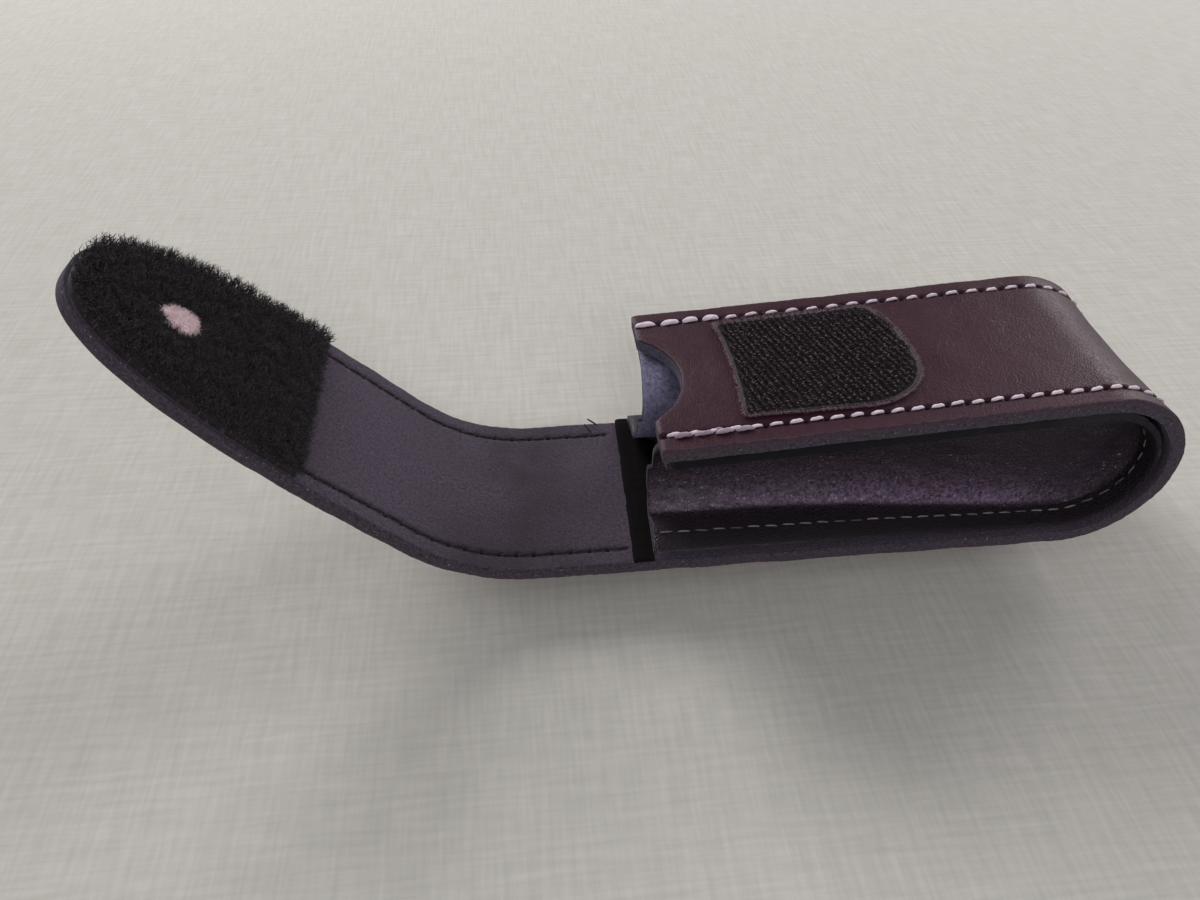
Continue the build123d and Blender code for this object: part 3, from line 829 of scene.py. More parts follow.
# The flange thread's tones are the pale thread's, darkened as painted shade of the shaded flange.
flange_thread_shaded = thread("flange_thread_shaded", (150, 144, 150), (52, 49, 54), 0.7)
dark_thread = thread("dark_thread", (22, 15, 23), (11, 8, 12), 0.85, 0.02)

# %% A seam as a stack of stitches
Y_AXIS = np.array([0, 1, 0])


def unit(vectors):
    return vectors / np.linalg.norm(vectors, axis=1)[:, None]


def assembled(start, parts, directions):
    """Points that go from each start by so much along each of three directions."""
    moves = (p[..., None] * v[:, None, None] for p, v in zip(parts, directions))
    return start[:, None, None] + sum(moves)


def stitches(place, along, out, length, width, height, soil_and_shade, seed, finish=0):
    """One grid for each stitch. Along it, a goes from -1 to 1 and the thickness is the root of
    1 - |a|^3, round it, b goes once round, and the radius waves three times as b turns with a."""
    rng = np.random.default_rng(seed)
    a = np.linspace(-1, 1, 11)[:, None]
    b = np.linspace(0, 2 * pi, 13)[None, :]
    phase = rng.uniform(0, 2 * pi, (len(place), 1, 1))
    full = np.sqrt(1 - np.abs(a) ** 3)
    lobes = 1 + 0.15 * np.cos(3 * b + 5.0 * a + phase)
    length, width, height, soil_and_shade = (np.reshape(v * np.ones(len(place)), (-1, 1, 1))
                                   for v in (length, width, height, soil_and_shade))
    rise = height * (0.34 - 0.45 * np.abs(a) ** 3.5)
    parts = (a * length / 2 + 0 * b, full * lobes * np.cos(b) * width / 2,
             rise + full * lobes * np.sin(b) * height / 2)
    points = assembled(place, parts, (along, np.cross(out, along), out))
    return patch(points, grid(a * length / 2, b * width / 2), finish, {"soil_and_shade": soil_and_shade})


def on_strip(s, y, inner=False, lift=0.0):
    """A place on one face of the strip, with the directions along the strip and out of it."""
    heading = along_strip(s)[2]
    point = leather_point(s, y, 1.0 if inner else 0.0, False)[0]
    along = grid(np.cos(heading), 0, np.sin(heading))
    out = grid(-np.sin(heading), 0, np.cos(heading)) * (-1 if inner else 1)
    return point + out * lift, along, out


def slanted(along, angle):
    """Turns directions along the strip towards +Y by an angle, stitch by stitch."""
    return along * np.cos(angle)[:, None] + Y_AXIS * np.sin(angle)[:, None]


def seam_row(s, hand, seed, inner=False, width=0.7, height=0.56, length=2.65, slant=8.0,
             soil_and_shade=0.06, shift=0.0, finish=0):
    """A row of stitches centred at places s on the near (-1) or far (1) seam line. Their sizes
    are in millimetres, and each stitch is a little off them."""
    rng = np.random.default_rng(seed)
    n = len(s)
    y = hand * seam_y + shift * mm + rng.normal(0, 0.06, n) * mm
    point, along, out = on_strip(s, y, inner, 0.2 * mm)
    angle = np.radians(slant + rng.normal(0, 2.2, n)) * (-1 if inner else 1)
    return stitches(point, slanted(along, angle), out, length * mm * rng.normal(1, 0.04, n),
                    width * mm * rng.normal(1, 0.06, n), height * mm * rng.normal(1, 0.07, n),
                    np.clip(soil_and_shade + rng.normal(0, 0.08, n), 0, 1), seed, finish)


stitch_places = {hand: first_hole[hand] + (np.arange(int(seam_stop / pitch)) + 0.5) * pitch
                 for hand, pitch in seam_pitch.items()}
print("stitches a side:", [len(places) for places in stitch_places.values()])

# %% Seams of the pouch and of the flap
for side_name, hand in (("near", -1), ("far", 1)):
    seed, places = 40 + hand, stitch_places[hand]
    bounds = np.searchsorted(places, [back_mouth + 0.5 * mm, split, seam_stop])
    on_pouch, on_crown, on_tongue, _ = np.split(places, bounds)
    body = make_piece(f"body_stitches_{side_name}", [seam_row(on_pouch, hand, seed)], [pale_thread])
    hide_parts(f"body_seam_{side_name}")
    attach(body, "pouch")
    for part, places in (("crown", on_crown), ("tongue", on_tongue)):
        inside = places[places > back_mouth + 4.6 * mm]
        rows = [seam_row(places, hand, seed + 2),
                seam_row(inside, hand, seed + 4, True, 0.62, 0.4, 3.2, 4.0, finish=1)]
        if (part, side_name) == ("crown", "far"):
            loose_s, loose_y = back_mouth + np.array([9.2, 8.0]) * mm, np.array([18.6, 20.6]) * mm
            at, along, out = on_strip(loose_s, loose_y, True, 0.7 * mm)
            rows.append(stitches(at, slanted(along, np.radians([68.0, 50.0])), out, 3.6 * mm,
                                 0.4 * mm, 0.36 * mm, 0.5, 46, finish=1))
        piece = make_piece(f"{part}_stitches_{side_name}", rows, [pale_thread, dark_thread])
        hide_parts(f"{part}_seam_{side_name}")
        bend_with_flap(piece, part == "tongue")

# %% [markdown]
# At the mouth the seam takes the most strain, so it was sewn over twice. The far corner's
# second pass fell into the same holes and only makes the stitches fatter. The near corner's
# missed them, and lies in a dull tangle beside the first.

# %% Tacks at the mouth's corners
far_places, near_places = stitch_places[1], stitch_places[-1]
far_tack = seam_row(far_places[:4] + np.array([-0.9, 0, 0, 0]) * mm, 1, 61, width=1.15,
                    height=0.9, length=np.array([4.5, 3.7, 3.6, 3.7]), slant=6.0, shift=0.1)
near_tack = seam_row(near_places[:4] + 1.55 * mm, -1, 63, width=0.85, height=0.85, length=3.4,
                     slant=2.0, soil_and_shade=0.8, shift=-0.7)
loose_end = seam_row(near_places[1:3] + 0.9 * mm, -1, 65, width=0.6, height=0.7, length=2.2,
                     slant=-24.0, soil_and_shade=0.7, shift=-0.1)
for side_name, rows in (("far", [far_tack]), ("near", [near_tack, loose_end])):
    piece = make_piece(f"mouth_stitches_{side_name}", rows, [pale_thread])
    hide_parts(f"mouth_tack_{side_name}")
    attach(piece, "pouch")

# %% [markdown]
# The same thread comes out on the gussets' flanges as the thin line of the bobbin side, pulled
# tight into the black leather, so only the top of each stitch catches the light. Its tones are
# darkened as painted shade of the shaded flange, with random dirt. Its line is a column of the
# gusset's own grid, which keeps it on the surface all the way round.

# %% Stitches on the flanges
def flange_seam(name, points, hand, seed, node):
    """Stitches laid on the grid column that is nearest to the seam's distance from the edge."""
    rng = np.random.default_rng(seed)
    off = np.abs(np.abs(points[:, :, 1]) - seam_y)
    line = points[np.arange(len(points)), off.argmin(1)]
    run = np.concatenate([[0], np.cumsum(np.linalg.norm(np.diff(line, axis=0), axis=1))])
    s = np.arange(1.2 * mm, run[-1] - 1.5 * mm, stitch_pitch * 0.94)
    place, ahead, behind = (np.stack([np.interp(s + d, run, line[:, k]) for k in range(3)], -1)
                            for d in (0, 0.8 * mm, -0.8 * mm))
    along = unit((ahead - behind) * (1, 0, 1))
    out = grid(along[:, 2], 0, -along[:, 0])
    place[:, 1] = -hand * seam_y + rng.normal(0, 0.06, len(s)) * mm
    ways = slanted(along, np.radians(rng.normal(3, 3, len(s))))
    # A random share of the dark tone: dirt, and painted shade of the flange.
    row = stitches(place - out * 0.02 * mm, ways, out, 2.6 * mm, 0.32 * mm, 0.3 * mm,
                   rng.uniform(0.3, 1.0, len(s)), seed)
    piece = make_piece(name, [row], [flange_thread_shaded])
    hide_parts(node)
    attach(piece, "pouch")


flange_seam("flange_stitches_near", near_flange, 1, 71, "flange_seam_near")
flange_seam("flange_stitches_far", far_flange, -1, 73, "flange_seam_far")

# %% [markdown]
# ## The band at the mouth
# The lining's raw end is bound with a strip of black cloth that crosses the leather just
# outside the gussets. It was cut by eye, so its outer edge runs a little askew, and it is a
# soft, thin thing: a sheet that rolls down at its edge, with a fine weave.

# %% Band of black cloth
band_cloth, t, shader, place = new_material("band_cloth")
weave = use_group(t, weave_group, Place=place, Threads=11000.0)
colour = mix(t, spread(t, weave["Slub"], 0.35, 0.7), tone(8, 5, 6), tone(22, 16, 19))
plug(t, shader, Base_Color=colour, Roughness=0.9, Specular_IOR_Level=0.12,
     Normal=bump(t, weave["Height"], 0.00008))
band_thick = 0.55 * mm
band_y = np.linspace(-half_width - 0.15 * mm, half_width + 0.2 * mm, 90)[:, None]
band_t = np.linspace(0, 1, 26)[None, :]
askew = np.interp(band_y, [-half_width, half_width], [3.9 * mm, 2.8 * mm])
band_left = mouth_x - askew + 0.12 * mm * hills(band_y, band_y, 6 * mm, 81)
under_tray = rising(16 * mm - np.abs(band_y), 3 * mm)
band_right = mouth_x + 0.1 * mm + 4.7 * mm * under_tray
band_x = band_left * (1 - band_t) + band_right * band_t
rolled = 1 - np.exp(-(band_x - band_left + 0.05 * mm) / (0.22 * mm))
band_rise = 0.62 * mm * rolled + 0.05 * mm * hills(band_x, band_y, 4 * mm, 82)
band_grid = grid(band_x, band_y, back_z + leather + 0.12 * mm + band_rise)
band = make_piece("mouth_cloth", [patch(band_grid, grid(band_x, band_y))], [band_cloth], False)
if band.data.polygons[0].normal.z < 0:
    band.data.flip_normals()
hem = band.modifiers.new("hem", "SOLIDIFY")
hem.thickness, hem.offset = band_thick, -1
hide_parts("mouth_band")
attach(band, "pouch")

# %% [markdown]
# ## Fibres
# The frayed tape, the pile and the felt are all made of fibres, and each fibre is a thin tube
# with three sides that curls as it grows: its centre goes out from the root and circles round
# that line, wider towards the tip. One function grows any number of them at once.

# %% Growing fibres
def fibres(root, out, length, thickness, curl_size, curl_pace, seed, finish=0):
    """Centre line: root + out * length * t, plus a circle of radius curl_size * t round it. The
    tube's radius is full in the middle and nothing at both ends, so that it is closed."""
    rng = np.random.default_rng(seed)
    n = len(root)
    out = unit(out)
    across = unit(np.cross(out, rng.normal(0, 1, (n, 3))))
    t = np.linspace(0, 1, 5)[None, :]
    turn = rng.uniform(0, 2 * pi, (n, 1)) + curl_pace * t * rng.uniform(0.6, 1.4, (n, 1))
    grown = (np.reshape(length * np.ones(n), (-1, 1)) * t)[..., None]
    radius = (thickness / 2 * np.where((t == 0) | (t == 1), 0, 1 - 0.35 * t))[..., None]
    b = np.linspace(0, 2 * pi, 4)[None, None, :]
    parts = (grown + 0 * b, (curl_size * t * np.cos(turn))[..., None] + radius * np.cos(b),
             (curl_size * t * np.sin(turn))[..., None] + radius * np.sin(b))
    points = assembled(root, parts, (out, across, np.cross(out, across)))
    root_x, root_y = root[:, None, None, 0], root[:, None, None, 1]
    return patch(points, grid(root_x + grown, root_y + 0 * b), finish)


# %% [markdown]
# ## The hook tape on the front
# A black nylon tape, cut straight at the mouth's end and round at the other, not quite
# evenly. It is woven in slanting rows, and from each row stand small stiff hooks. The tape is
# a disc of rings that follow its outline, the rows are low ribs across it, and the hooks are
# tubes bent over at the top, facing both ways.

# %% Finishes of the hook tape
hook_nylon, t, shader, place = new_material("hook_nylon")
fleck = noise(t, place, 2400.0, 2.0)
colour = mix(t, noise(t, place, 500.0), tone(9, 5, 8), tone(26, 15, 22))
# Hook tops get a painted glint: a pale pink tone mixed in by the tip mark.
plug(t, shader, Base_Color=mix(t, mark(t, "tip"), colour, tone(200, 172, 186)), Roughness=0.6,
     Specular_IOR_Level=0.15, Normal=bump(t, fleck, 0.00008))
tape_edge, t, shader, place = new_material("tape_edge")
colour = mix(t, noise(t, place, 1200.0), tone(20, 13, 18), tone(56, 41, 49))
plug(t, shader, Base_Color=colour, Roughness=0.8, Sheen_Weight=0.2)
fray_thread, t, shader, place = new_material("fray_thread")
colour = mix(t, noise(t, place, 900.0), tone(64, 44, 54), tone(190, 160, 172))
plug(t, shader, Base_Color=colour, Roughness=0.8)

# %% Outline of the hook tape
tape_start = 16 * mm
tape_near, tape_far, tape_tip = -15.3 * mm, 14.8 * mm, (51.1 * mm, -3.0 * mm)
near_round, far_round, roundness = 12.8 * mm, 5.9 * mm, 2.1
tape_thick = 0.75 * mm
tape_mid = np.array([33 * mm, -0.3 * mm])
front_up = np.array([-np.sin(front_slope), 0, np.cos(front_slope)])


def tape_half(y, inset=0.0):
    """Where the tape ends, at each distance across: nearly an ellipse from the tip to each long
    side, longer on the near side, where the scissors came round more slowly."""
    near = y < tape_tip[1]
    span = np.where(near, tape_tip[1] - tape_near, tape_far - tape_tip[1]) - inset
    depth = np.where(near, near_round, far_round)
    share = np.clip(np.abs(y - tape_tip[1]) / span, 0, 1)
    return tape_tip[0] - inset - depth * (1 - (1 - share**roundness) ** (1 / roundness))


def on_front(x, y, lift):
    """A point above the front's outer face: x from the mouth along it, y across, lift off it."""
    return leather_point(x, y, 0.0, False)[0] + np.asarray(lift)[..., None] * front_up


def tape_ring(share, lift, finish=0):
    """The tape's outline drawn in to shares of its size, at heights off the leather."""
    x, y = (mid + (rim - mid) * share for mid, rim in zip(tape_mid, (rim_x, rim_y)))
    return patch(on_front(x, y, lift), grid(x, y), finish, {"tip": 0.0})


round_y = tape_near + (tape_far - tape_near) * (0.5 - 0.5 * np.cos(np.linspace(0, 1, 70) * pi))
rim_y = np.concatenate([round_y, np.linspace(tape_far, tape_near, 40)[1:]])
rim_x = np.concatenate([tape_half(round_y), np.full(39, tape_start)])
rim_x = rim_x + 0.13 * mm * hills(rim_x, rim_y, 2.2 * mm, 90)
rim_y = rim_y + 0.10 * mm * hills(rim_x, rim_y, 2.0 * mm, 91)
rim_x[-1], rim_y[-1] = rim_x[0], rim_y[0]
ring = np.concatenate([np.linspace(0.02, 0.97, 24), [0.99, 1.0, 1.0, 0.98, 0.0]])[:, None]
ring_lift = np.concatenate([np.full(24, 1.0), [0.93, 0.72, 0.05, 0.0, 0.0]])[:, None] * tape_thick
top_ring = tape_ring(ring, ring_lift, np.arange(28)[:, None] > 22)
cap_ring = tape_ring(np.array([[0], [0.02]]), tape_thick)
print("tape mm:", in_mm([np.ptp(rim_x), np.ptp(rim_y)]))

# %% Rows of ribs and hooks
row_pitch, row_slant, hook_gap = 1.38 * mm, np.radians(16), 0.48 * mm
row_number = np.arange(-7, 27)[:, None]
hook_path = np.array([[0, -0.1], [0.0, 0.4], [0.04, 0.7], [0.2, 0.9], [0.36, 0.82],
                      [0.4, 0.66]]) * mm
hook_radius = np.array([0, 0.06, 0.06, 0.06, 0.055, 0]) * mm


def row_x(number, y):
    """How far from the mouth a slanting row is, at y across."""
    return tape_start + 0.9 * mm + number * row_pitch - (y - tape_far) * np.tan(row_slant)


def hooks(x, y, seed):
    """Each hook is a short tube carried along one bent line, turned and scaled at random. Its top
    carries a painted glint of random strength.
    """
    rng = np.random.default_rng(seed)
    n = len(x)
    facing = rng.choice([-1.0, 1.0], n) * rng.normal(1, 0.1, n)
    turn = rng.normal(0, 0.3, n)[:, None]
    tall = rng.normal(1, 0.13, n)[:, None]
    over, rise = hook_path[:, 0] * facing[:, None], hook_path[:, 1] * tall
    radius, b = hook_radius[:, None], np.linspace(0, 2 * pi, 4)
    px = (x[:, None] + over * np.cos(turn))[..., None] + radius * np.cos(b)
    py = (y[:, None] + over * np.sin(turn))[..., None] + radius * np.sin(b)
    pz = tape_thick + rise[..., None] + radius * np.cos(b + 0.8) * 0.5
    # Painted glint on the hook's top, stronger on some hooks than others.
    glint = rng.uniform(0.1, 1, n)[:, None, None] ** 2
    tip_glint = np.array([0, 0, 0.1, 1, 0.6, 0])[:, None] * glint
    return patch(on_front(px, py, pz), grid(px, py), 0, {"tip": tip_glint})


spot_y = (tape_near + 0.55 * mm + np.arange(62) * hook_gap)[None, :]
spot_x = row_x(row_number, spot_y)
inside = ((spot_x > tape_start + 0.6 * mm) & (spot_x < tape_half(spot_y, 0.5 * mm))
          & (spot_y < tape_far - 0.5 * mm))
hook_x, hook_y = spot_x[inside], np.broadcast_to(spot_y, spot_x.shape)[inside]
rib_rows = inside.any(1)
low = np.argmax(inside[rib_rows], 1)
high = inside.shape[1] - 1 - np.argmax(inside[rib_rows][:, ::-1], 1)
share = np.linspace(0, 1, 44)[None, :]
rib_y = spot_y[0][low][:, None] * (1 - share) + spot_y[0][high][:, None] * share
b = np.linspace(0, 2 * pi, 7)[None, None, :]
tapered = np.minimum(1, 6 * np.minimum(share, 1 - share)) ** 0.5
thick = (0.05 * mm * tapered * (0.85 + 0.15 * np.cos(share * 180)))[..., None]
rib_px = row_x(row_number[rib_rows], rib_y)[..., None] + thick * np.cos(b)
rib_py = rib_y[..., None] + 0 * b
rib_lift = tape_thick + 0.05 * mm + thick * np.sin(b) * 0.8
ribs = patch(on_front(rib_px, rib_py, rib_lift), grid(rib_px, rib_py))
rng = np.random.default_rng(93)
jitter = rng.normal(0, 0.15 * mm, (4, len(hook_x)))
hook_set = [hooks(hook_x + jitter[0] * 0.3, hook_y + jitter[1] * 0.3, 94),
            hooks(hook_x + jitter[2], hook_y + jitter[3] + hook_gap / 2, 95)]
print("hooks:", 2 * len(hook_x), "rows:", int(rib_rows.sum()))

# %% The hook tape with its frayed rim
fray_count = 1900
rim_run = np.concatenate([[0], np.cumsum(np.hypot(np.diff(rim_x), np.diff(rim_y)))])
fray_at = rng.uniform(0, rim_run[-1], fray_count)
fray_x, fray_y = np.interp(fray_at, rim_run, rim_x), np.interp(fray_at, rim_run, rim_y)
fray_out = grid(fray_x - tape_mid[0], fray_y - tape_mid[1], 9 * mm)
fray_out = fray_out + rng.normal(0, 14 * mm, (fray_count, 3))
fray_out[:, 2] = np.abs(fray_out[:, 2]) * 0.45
fray_root = on_front(fray_x, fray_y, tape_thick * 0.75)
fray = fibres(fray_root, fray_out, rng.uniform(0.2, 1.0, fray_count) * mm, 0.09 * mm, 0.2 * mm,
              6.0, 96, finish=2)
hook_tape = make_piece("hook_tape", [top_ring, cap_ring, ribs, *hook_set, fray],
                       [hook_nylon, tape_edge, fray_thread])
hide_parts("hook_patch")
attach(hook_tape, "pouch")

# %% [markdown]
# ## The pile on the flap
# The loop half of the closure is worn into a thick black wool. A low dark bed lies under it,
# so that nothing shines through, and on it stand many thousands of curled fibres. They lean
# together in clumps, as real pile does, because their lean comes from slow hills that
# neighbours share, and along the far edge they spill over the leather.

# %% Finish of the pile
pile_wool, t, shader, place = new_material("pile_wool")
tuft = spread(t, noise(t, place, 420.0, 4.0), 0.35, 0.7)
ends = spread(t, noise(t, place, 3000.0, 1.0), 0.62, 0.7)
colour = mix(t, ends, mix(t, tuft, tone(13, 9, 12), tone(38, 29, 36)), tone(88, 68, 80))
plug(t, shader, Base_Color=colour, Roughness=0.8, Specular_IOR_Level=0.3, Sheen_Weight=0.12,
     Sheen_Roughness=0.5)

# %% Bed of the pile
pile_from, pile_to = tongue_start + 24.6 * mm, tip - 0.5 * mm
pile_margin = 0.75 * mm
tape_under = 0.8 * mm
_, pile_ahead, pile_up = (v[0] for v in on_strip(np.array([tip - 5 * mm]), np.array([0.0]), True))


def tongue_half(s, inset):
    """Half the tongue's width at s, for an outline drawn in by inset all round."""
    return (half_width - inset) * narrowing(rising(s - taper_start, taper_length - inset))


bed_s = (pile_from + (pile_to - pile_from) * np.sin(np.linspace(0, 1, 80) * pi / 2))[:, None]
bed_c = np.sin(np.linspace(-1, 1, 60) * pi / 2)[None, :]
bed_half = tongue_half(bed_s, pile_margin)
bed_y = bed_c * bed_half
from_edge = np.minimum(np.minimum(bed_half * (1 - np.abs(bed_c)), bed_s - pile_from),
                       (pile_to - bed_s) * 1.5)
rounding = rising(from_edge, 2.2 * mm)
swell = np.sqrt(rounding * (2 - rounding))
bed_rise = (tape_under * rising(from_edge, 0.15 * mm) + 1.2 * mm * swell
            + 0.22 * mm * swell * hills(bed_s, bed_y, 2.4 * mm, 100))
bed_low = strip_point(bed_s, bed_y, leather)
bed_top = bed_low + bed_rise[..., None] * pile_up
flat_bed = grid(bed_s, bed_y)
bed_parts = [patch(bed_top, flat_bed), patch(bed_low[:, ::-1], flat_bed)]

# %% Fibres of the pile
spot_s, spot_across = tongue_start + 51.0 * mm, -1.0 * mm
spot_size = (3.55 * mm, 3.25 * mm)


def ragged(angle, fine=0.03):
    """The pale spot's outline as a share of its size: a circle with three slow waves on it."""
    waves = 0.05 * np.sin(3 * angle + 1) + 0.05 * np.sin(5 * angle + 2)
    return 1 + waves + fine * np.sin(9 * angle)


def in_spot(radius, angle):
    """The place along and across the strip, of a point of the pale spot."""
    return (spot_s + spot_size[0] * radius * np.cos(angle),
            spot_across + spot_size[1] * radius * np.sin(angle))


def spot_reach(s, y):
    """Distance from the pale spot's middle, where 1 is its ragged outline."""
    outline = ragged(np.arctan2(y - spot_across, s - spot_s))
    return np.hypot((s - spot_s) / spot_size[0], (y - spot_across) / spot_size[1]) / outline


def grow_pile(count, seed):
    """Roots spread evenly over the bed; lean and length come from shared hills plus chance."""
    rng = np.random.default_rng(seed)
    s = rng.uniform(pile_from + 0.2 * mm, pile_to - 0.1 * mm, count * 2)
    y = rng.uniform(-half_width, half_width, count * 2)
    half = tongue_half(s, pile_margin)
    keep = (np.abs(y) < half - 0.1 * mm) & (spot_reach(s, y) > 0.93)
    s, y, half = s[keep], y[keep], half[keep]
    n = len(s)
    edge = np.minimum(half - np.abs(y), (s - pile_from))
    far_edge, near_edge, straight_edge = (1 - rising(away, reach) for away, reach in (
        (half - y, 2.5 * mm), (half + y, 2.0 * mm), (s - pile_from, 2.2 * mm)))
    lean_s = 0.8 * hills(s, y, 2.4 * mm, 101) + 0.3 * rng.normal(0, 1, n) - 0.8 * straight_edge
    lean_y = 0.8 * hills(s, y, 2.4 * mm, 102) + 0.3 * rng.normal(0, 1, n)
    lean_y = lean_y + 0.75 * far_edge - 0.5 * near_edge
    out = pile_up + lean_s[:, None] * pile_ahead + lean_y[:, None] * Y_AXIS
    length = 1.6 + 1.2 * rng.random(n) ** 2 + 0.5 * hills(s, y, 4.0 * mm, 103) + 1.0 * far_edge
    short_at_spot = 0.55 + 0.45 * rising(spot_reach(s, y) - 0.9, 1 / 3)
    short_at_edge = 0.7 + 0.3 * rising(edge, 1.2 * mm)
    length = length * mm * short_at_spot * short_at_edge
    root = strip_point(s, y, leather + tape_under + 0.75 * mm * np.clip(edge / (1.5 * mm), 0.1, 1))
    return fibres(root, out, length, 0.14 * mm, 0.55 * mm, 6.0, seed)


pile_bed = make_piece("pile_bed", [*bed_parts, grow_pile(6700, 104)], [pile_wool])
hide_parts("loop_tape", "loop_pile")
pile_top = make_piece("pile_top", [grow_pile(7450, 105)], [pile_wool])
for piece in (pile_bed, pile_top):
    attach(piece, "tongue")

# %% [markdown]
# ## The pale spot
# In the pile sits a small round of pale pink felt, matted flat. It is a low mound with short
# fibres lying across one another on it, in a colour that varies a little from fibre to fibre.

# %% Felt spot
pale_felt, t, shader, place = new_material("pale_felt")
tuft = noise(t, place, 900.0, 4.0, 0.7)
colour = mix(t, spread(t, tuft, 0.32, 0.68), tone(232, 186, 194), tone(255, 246, 248))
plug(t, shader, Base_Color=colour, Roughness=0.9, Sheen_Weight=0.35, Sheen_Roughness=0.4,
     Normal=bump(t, tuft, 0.00015))
felt_low, felt_high, hair_count = tape_under + 1.0 * mm, 0.95 * mm, 1500
angle = np.linspace(0, 2 * pi, 49)[None, :]
share = np.linspace(0, 0.95, 14)
dome = np.concatenate([np.sqrt(1 - share**2) * 0.9 + 0.1, [0.1, 0]])[:, None]
felt_s, felt_y = in_spot(np.concatenate([share, [1.0, 1.0]])[:, None] * ragged(angle), angle)
felt_rise = felt_low + felt_high * dome + 0.14 * mm * hills(felt_s, felt_y, 0.9 * mm, 110)
felt_rise = np.where(dome > 0, felt_rise, tape_under)
mound = patch(strip_point(felt_s, felt_y, leather + felt_rise), grid(felt_s, felt_y))
rim_share = np.array([[1], [0]])
under = patch(strip_point(felt_s[-1:] * rim_share + spot_s * (1 - rim_share),
                          felt_y[-1:] * rim_share + spot_across * (1 - rim_share),
                          leather + tape_under))
rng = np.random.default_rng(111)
hair_r, hair_a = np.sqrt(rng.random(hair_count)), rng.uniform(0, 2 * pi, hair_count)
hair_r = hair_r * ragged(hair_a, 0)
hair_s, hair_y = in_spot(hair_r, hair_a)
hair_up = felt_low + felt_high * (np.sqrt(np.clip(1 - hair_r**2, 0, 1)) * 0.9 + 0.1)
hair_out = (np.cos(hair_a * 7)[:, None] * pile_ahead + np.sin(hair_a * 7)[:, None] * Y_AXIS
            + pile_up * rng.uniform(0.05, 0.5, hair_count)[:, None])
hairs = fibres(strip_point(hair_s, hair_y, leather + hair_up - 0.05 * mm), hair_out,
               rng.uniform(0.4, 1.1, hair_count) * mm, 0.12 * mm, 0.22 * mm, 8.0, 112)
felt_spot = make_piece("felt_spot", [mound, under, hairs], [pale_felt])
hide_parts("pale_spot")
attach(felt_spot, "tongue")

# %% [markdown]
# ## The belt loop
# The pouch lies on its belt loop, a strap of the same leather sewn to the back at both ends
# and standing off it between them. It is a second, shorter strip: a line that drops from the
# tab, runs level and rises to the other tab, with a cross-section loop carried along it.

# %% Belt loop
loop_low, loop_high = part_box("belt_loop")
strap_thick = 2.2 * mm
strap_half = loop_high.y
strap_inset, strap_rows = 0.35 * mm, 120
tab, ramp = 8 * mm, 6.5 * mm
strap_x = loop_low.x + (loop_high.x - loop_low.x) * np.linspace(0, 1, strap_rows)
from_tab = np.minimum(strap_x - loop_low.x, loop_high.x - strap_x) - tab
off_tab = rising(from_tab, ramp)
strap_z = (loop_high.z - strap_thick) * (1 - ease(off_tab))
slope_x, slope_z = np.gradient(strap_x), np.gradient(strap_z)
slope_x, slope_z = (v / np.hypot(slope_x, slope_z) for v in (slope_x, slope_z))
columns = np.linspace(-strap_half + 0.9 * mm, strap_half - 0.9 * mm, 23)
columns = np.concatenate([[strap_inset - strap_half], columns, [strap_half - strap_inset]])
round_share, round_in = np.array([0.05, 0.2, 0.5, 0.8, 0.95]), np.array([0.12, 0, 0, 0, 0.12]) * mm
strap_y, strap_share, strap_finish = section_loop(columns, strap_half, round_share, round_in)


def strap_points(i, y, share):
    """A point of the strap at row i: across it, and up through its thickness."""
    sag = 0.08 * mm * hills(strap_x[i], y, 12 * mm, 120)
    up = share * strap_thick + (sag * (1 - share) + 0.05 * mm) * off_tab[i]
    return grid(strap_x[i] - up * slope_z[i], y, strap_z[i] + up * slope_x[i])


round_flat = np.hypot(np.gradient(strap_y), np.gradient(strap_share) * strap_thick)
no_marks = {"hole_and_shade": 0.0, "rub_and_sheen": 0.0}
strap = [patch(strap_points(np.arange(strap_rows)[:, None], strap_y, strap_share),
               grid(strap_x[:, None], np.cumsum(round_flat)), strap_finish, no_marks)]
end_y, end_share = section_levels(columns, strap_half, round_share, round_in, strap_inset)
strap += [patch(strap_points(i, end_y, end_share), None, CUT, no_marks)
          for i in (0, strap_rows - 1)]
belt_strap = make_piece("belt_strap", strap, strip_finishes[:MOUTH], crisp=50)
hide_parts("belt_loop")
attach(belt_strap, "pouch")

# %% Its seams
for name, node in (("strap_stitches_upper", "belt_seam_upper"),
                   ("strap_stitches_lower", "belt_seam_lower")):
    seam_low, seam_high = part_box(node)
    count = int((seam_high.y - seam_low.y) / stitch_pitch)
    y = (seam_low.y + seam_high.y) / 2 + (np.arange(count) - (count - 1) / 2) * stitch_pitch
    both_x = [seam_low.x + 0.4 * mm, seam_high.x - 0.4 * mm]
    gx, gy = (v.ravel() for v in np.meshgrid(both_x, y))
    place = grid(gx, gy, loop_high.z - strap_thick - 0.08 * mm)
    along, out = (np.broadcast_to(v, place.shape) for v in (
        np.array([0.1, 1, 0]) / np.hypot(0.1, 1), np.array([0, 0, -1.0])))
    row = stitches(place, along, out, 3.2 * mm, 0.9 * mm, 0.6 * mm, 0.15, 130)
    piece = make_piece(name, [row], [pale_thread])
    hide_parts(node)
    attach(piece, "pouch")

# %% [markdown]
# ## Camera, light and floor
# The camera stands where the photographer stood, above the near side, looking down at the
# pouch. The pouch lies in soft daylight: a window beyond it on the right, a broader light far
# off on the left, the room's own light from the near side, and a grey sky all round.

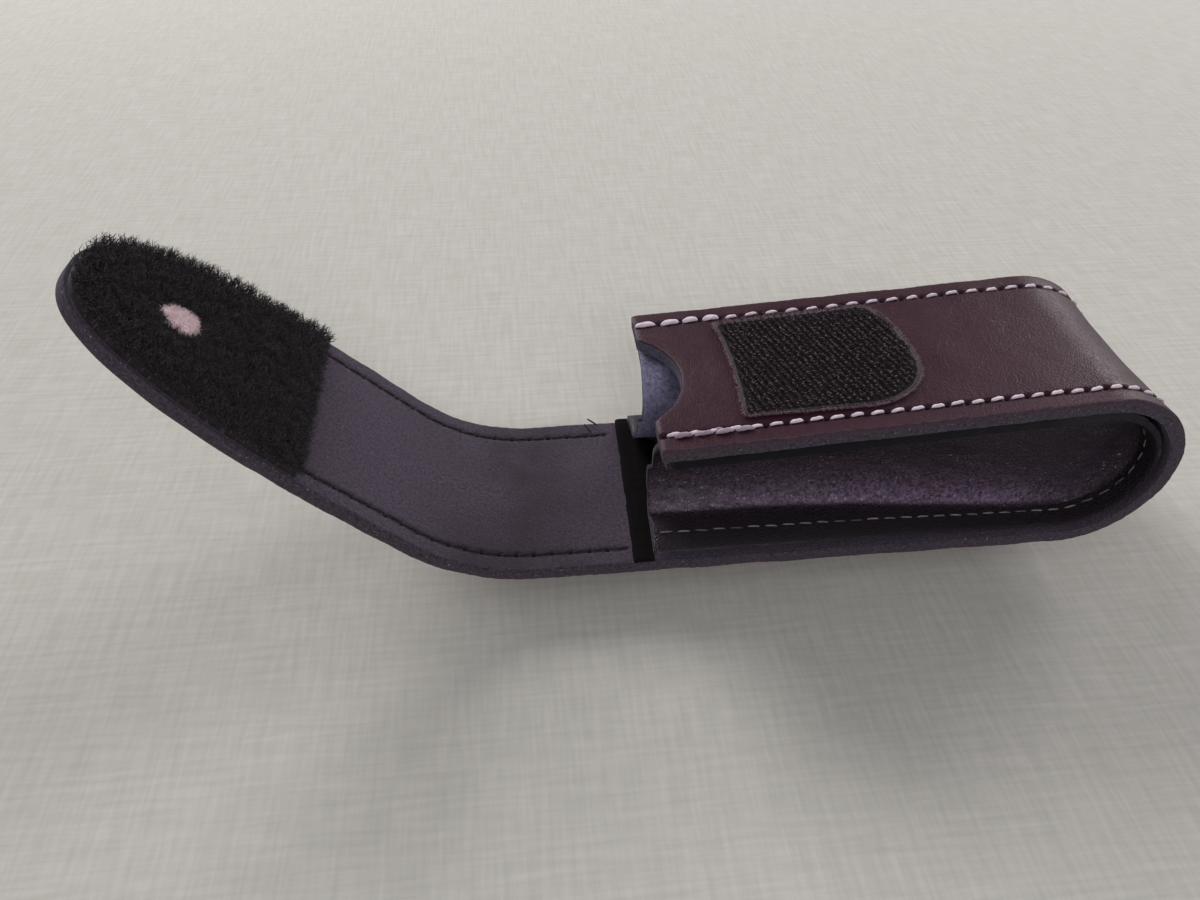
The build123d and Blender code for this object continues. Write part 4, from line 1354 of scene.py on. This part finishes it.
# %% Camera
aim = Vector((-44.42, -17.02, 36.11)) * mm
away = 159.2 * mm
pitch, yaw, roll = np.radians(42.19), np.radians(6.58), np.radians(-0.91)
forward = Vector((np.sin(yaw) * np.cos(pitch), np.cos(yaw) * np.cos(pitch), -np.sin(pitch)))
level = Vector((np.cos(yaw), -np.sin(yaw), 0))
down = forward.cross(level)
right = level * np.cos(roll) + down * np.sin(roll)
below = down * np.cos(roll) - level * np.sin(roll)
turned = Matrix((right, -below, -forward)).transposed().to_4x4()
camera = bpy.data.objects.new("camera", bpy.data.cameras.new("camera"))
camera.matrix_world = Matrix.Translation(aim - forward * away) @ turned
camera.data.lens, camera.data.sensor_width = 27.06, 36
camera.data.clip_start, camera.data.clip_end = 0.005, 20
bpy.context.scene.collection.objects.link(camera)
bpy.context.scene.camera = camera
bpy.context.scene.view_settings.view_transform = "Standard"

# %% Light
world = bpy.data.worlds.new("sky")
bpy.context.scene.world = world
world.use_nodes = True
sky = world.node_tree
plug(sky, sky.nodes["Background"], Color=(0.98, 0.97, 1.0, 1), Strength=0.3)


def soft_lamp(name, place, size, power, colour):
    """A square lamp that looks at the pouch."""
    lamp = bpy.data.objects.new(name, bpy.data.lights.new(name, "AREA"))
    lamp.data.size, lamp.data.energy, lamp.data.color = size, power, colour
    lamp.location = place
    lamp.rotation_euler = (-Vector(place)).to_track_quat("-Z", "Y").to_euler()
    bpy.context.scene.collection.objects.link(lamp)


soft_lamp("window", (1.0, 0.75, 0.62), 0.5, 6.0, (1.0, 0.98, 0.99))
soft_lamp("far", (-0.6, 1.2, 0.8), 0.7, 14.5, (1.0, 0.99, 0.98))
soft_lamp("room", (0.05, -0.95, 0.74), 0.36, 3.4, (1.0, 0.99, 1.0))

# %% Floor
floor_cloth, t, shader, place = new_material("floor_cloth", True)
weave = use_group(t, weave_group, Place=place, Threads=9000.0)
colour = mix(t, spread(t, weave["Slub"], 0.35, 0.65), tone(192, 190, 182), tone(208, 205, 199))
plug(t, shader, Base_Color=colour, Roughness=0.9, Specular_IOR_Level=0.2,
     Normal=bump(t, weave["Slub"], 0.0002, 0.6))
floor_half = 3
floor_side = np.linspace(-floor_half, floor_half, 3)
ground = patch(grid(floor_side[::-1, None], floor_side, cad_low.z))
floor = make_piece("floor", [ground], [floor_cloth], outward=False)
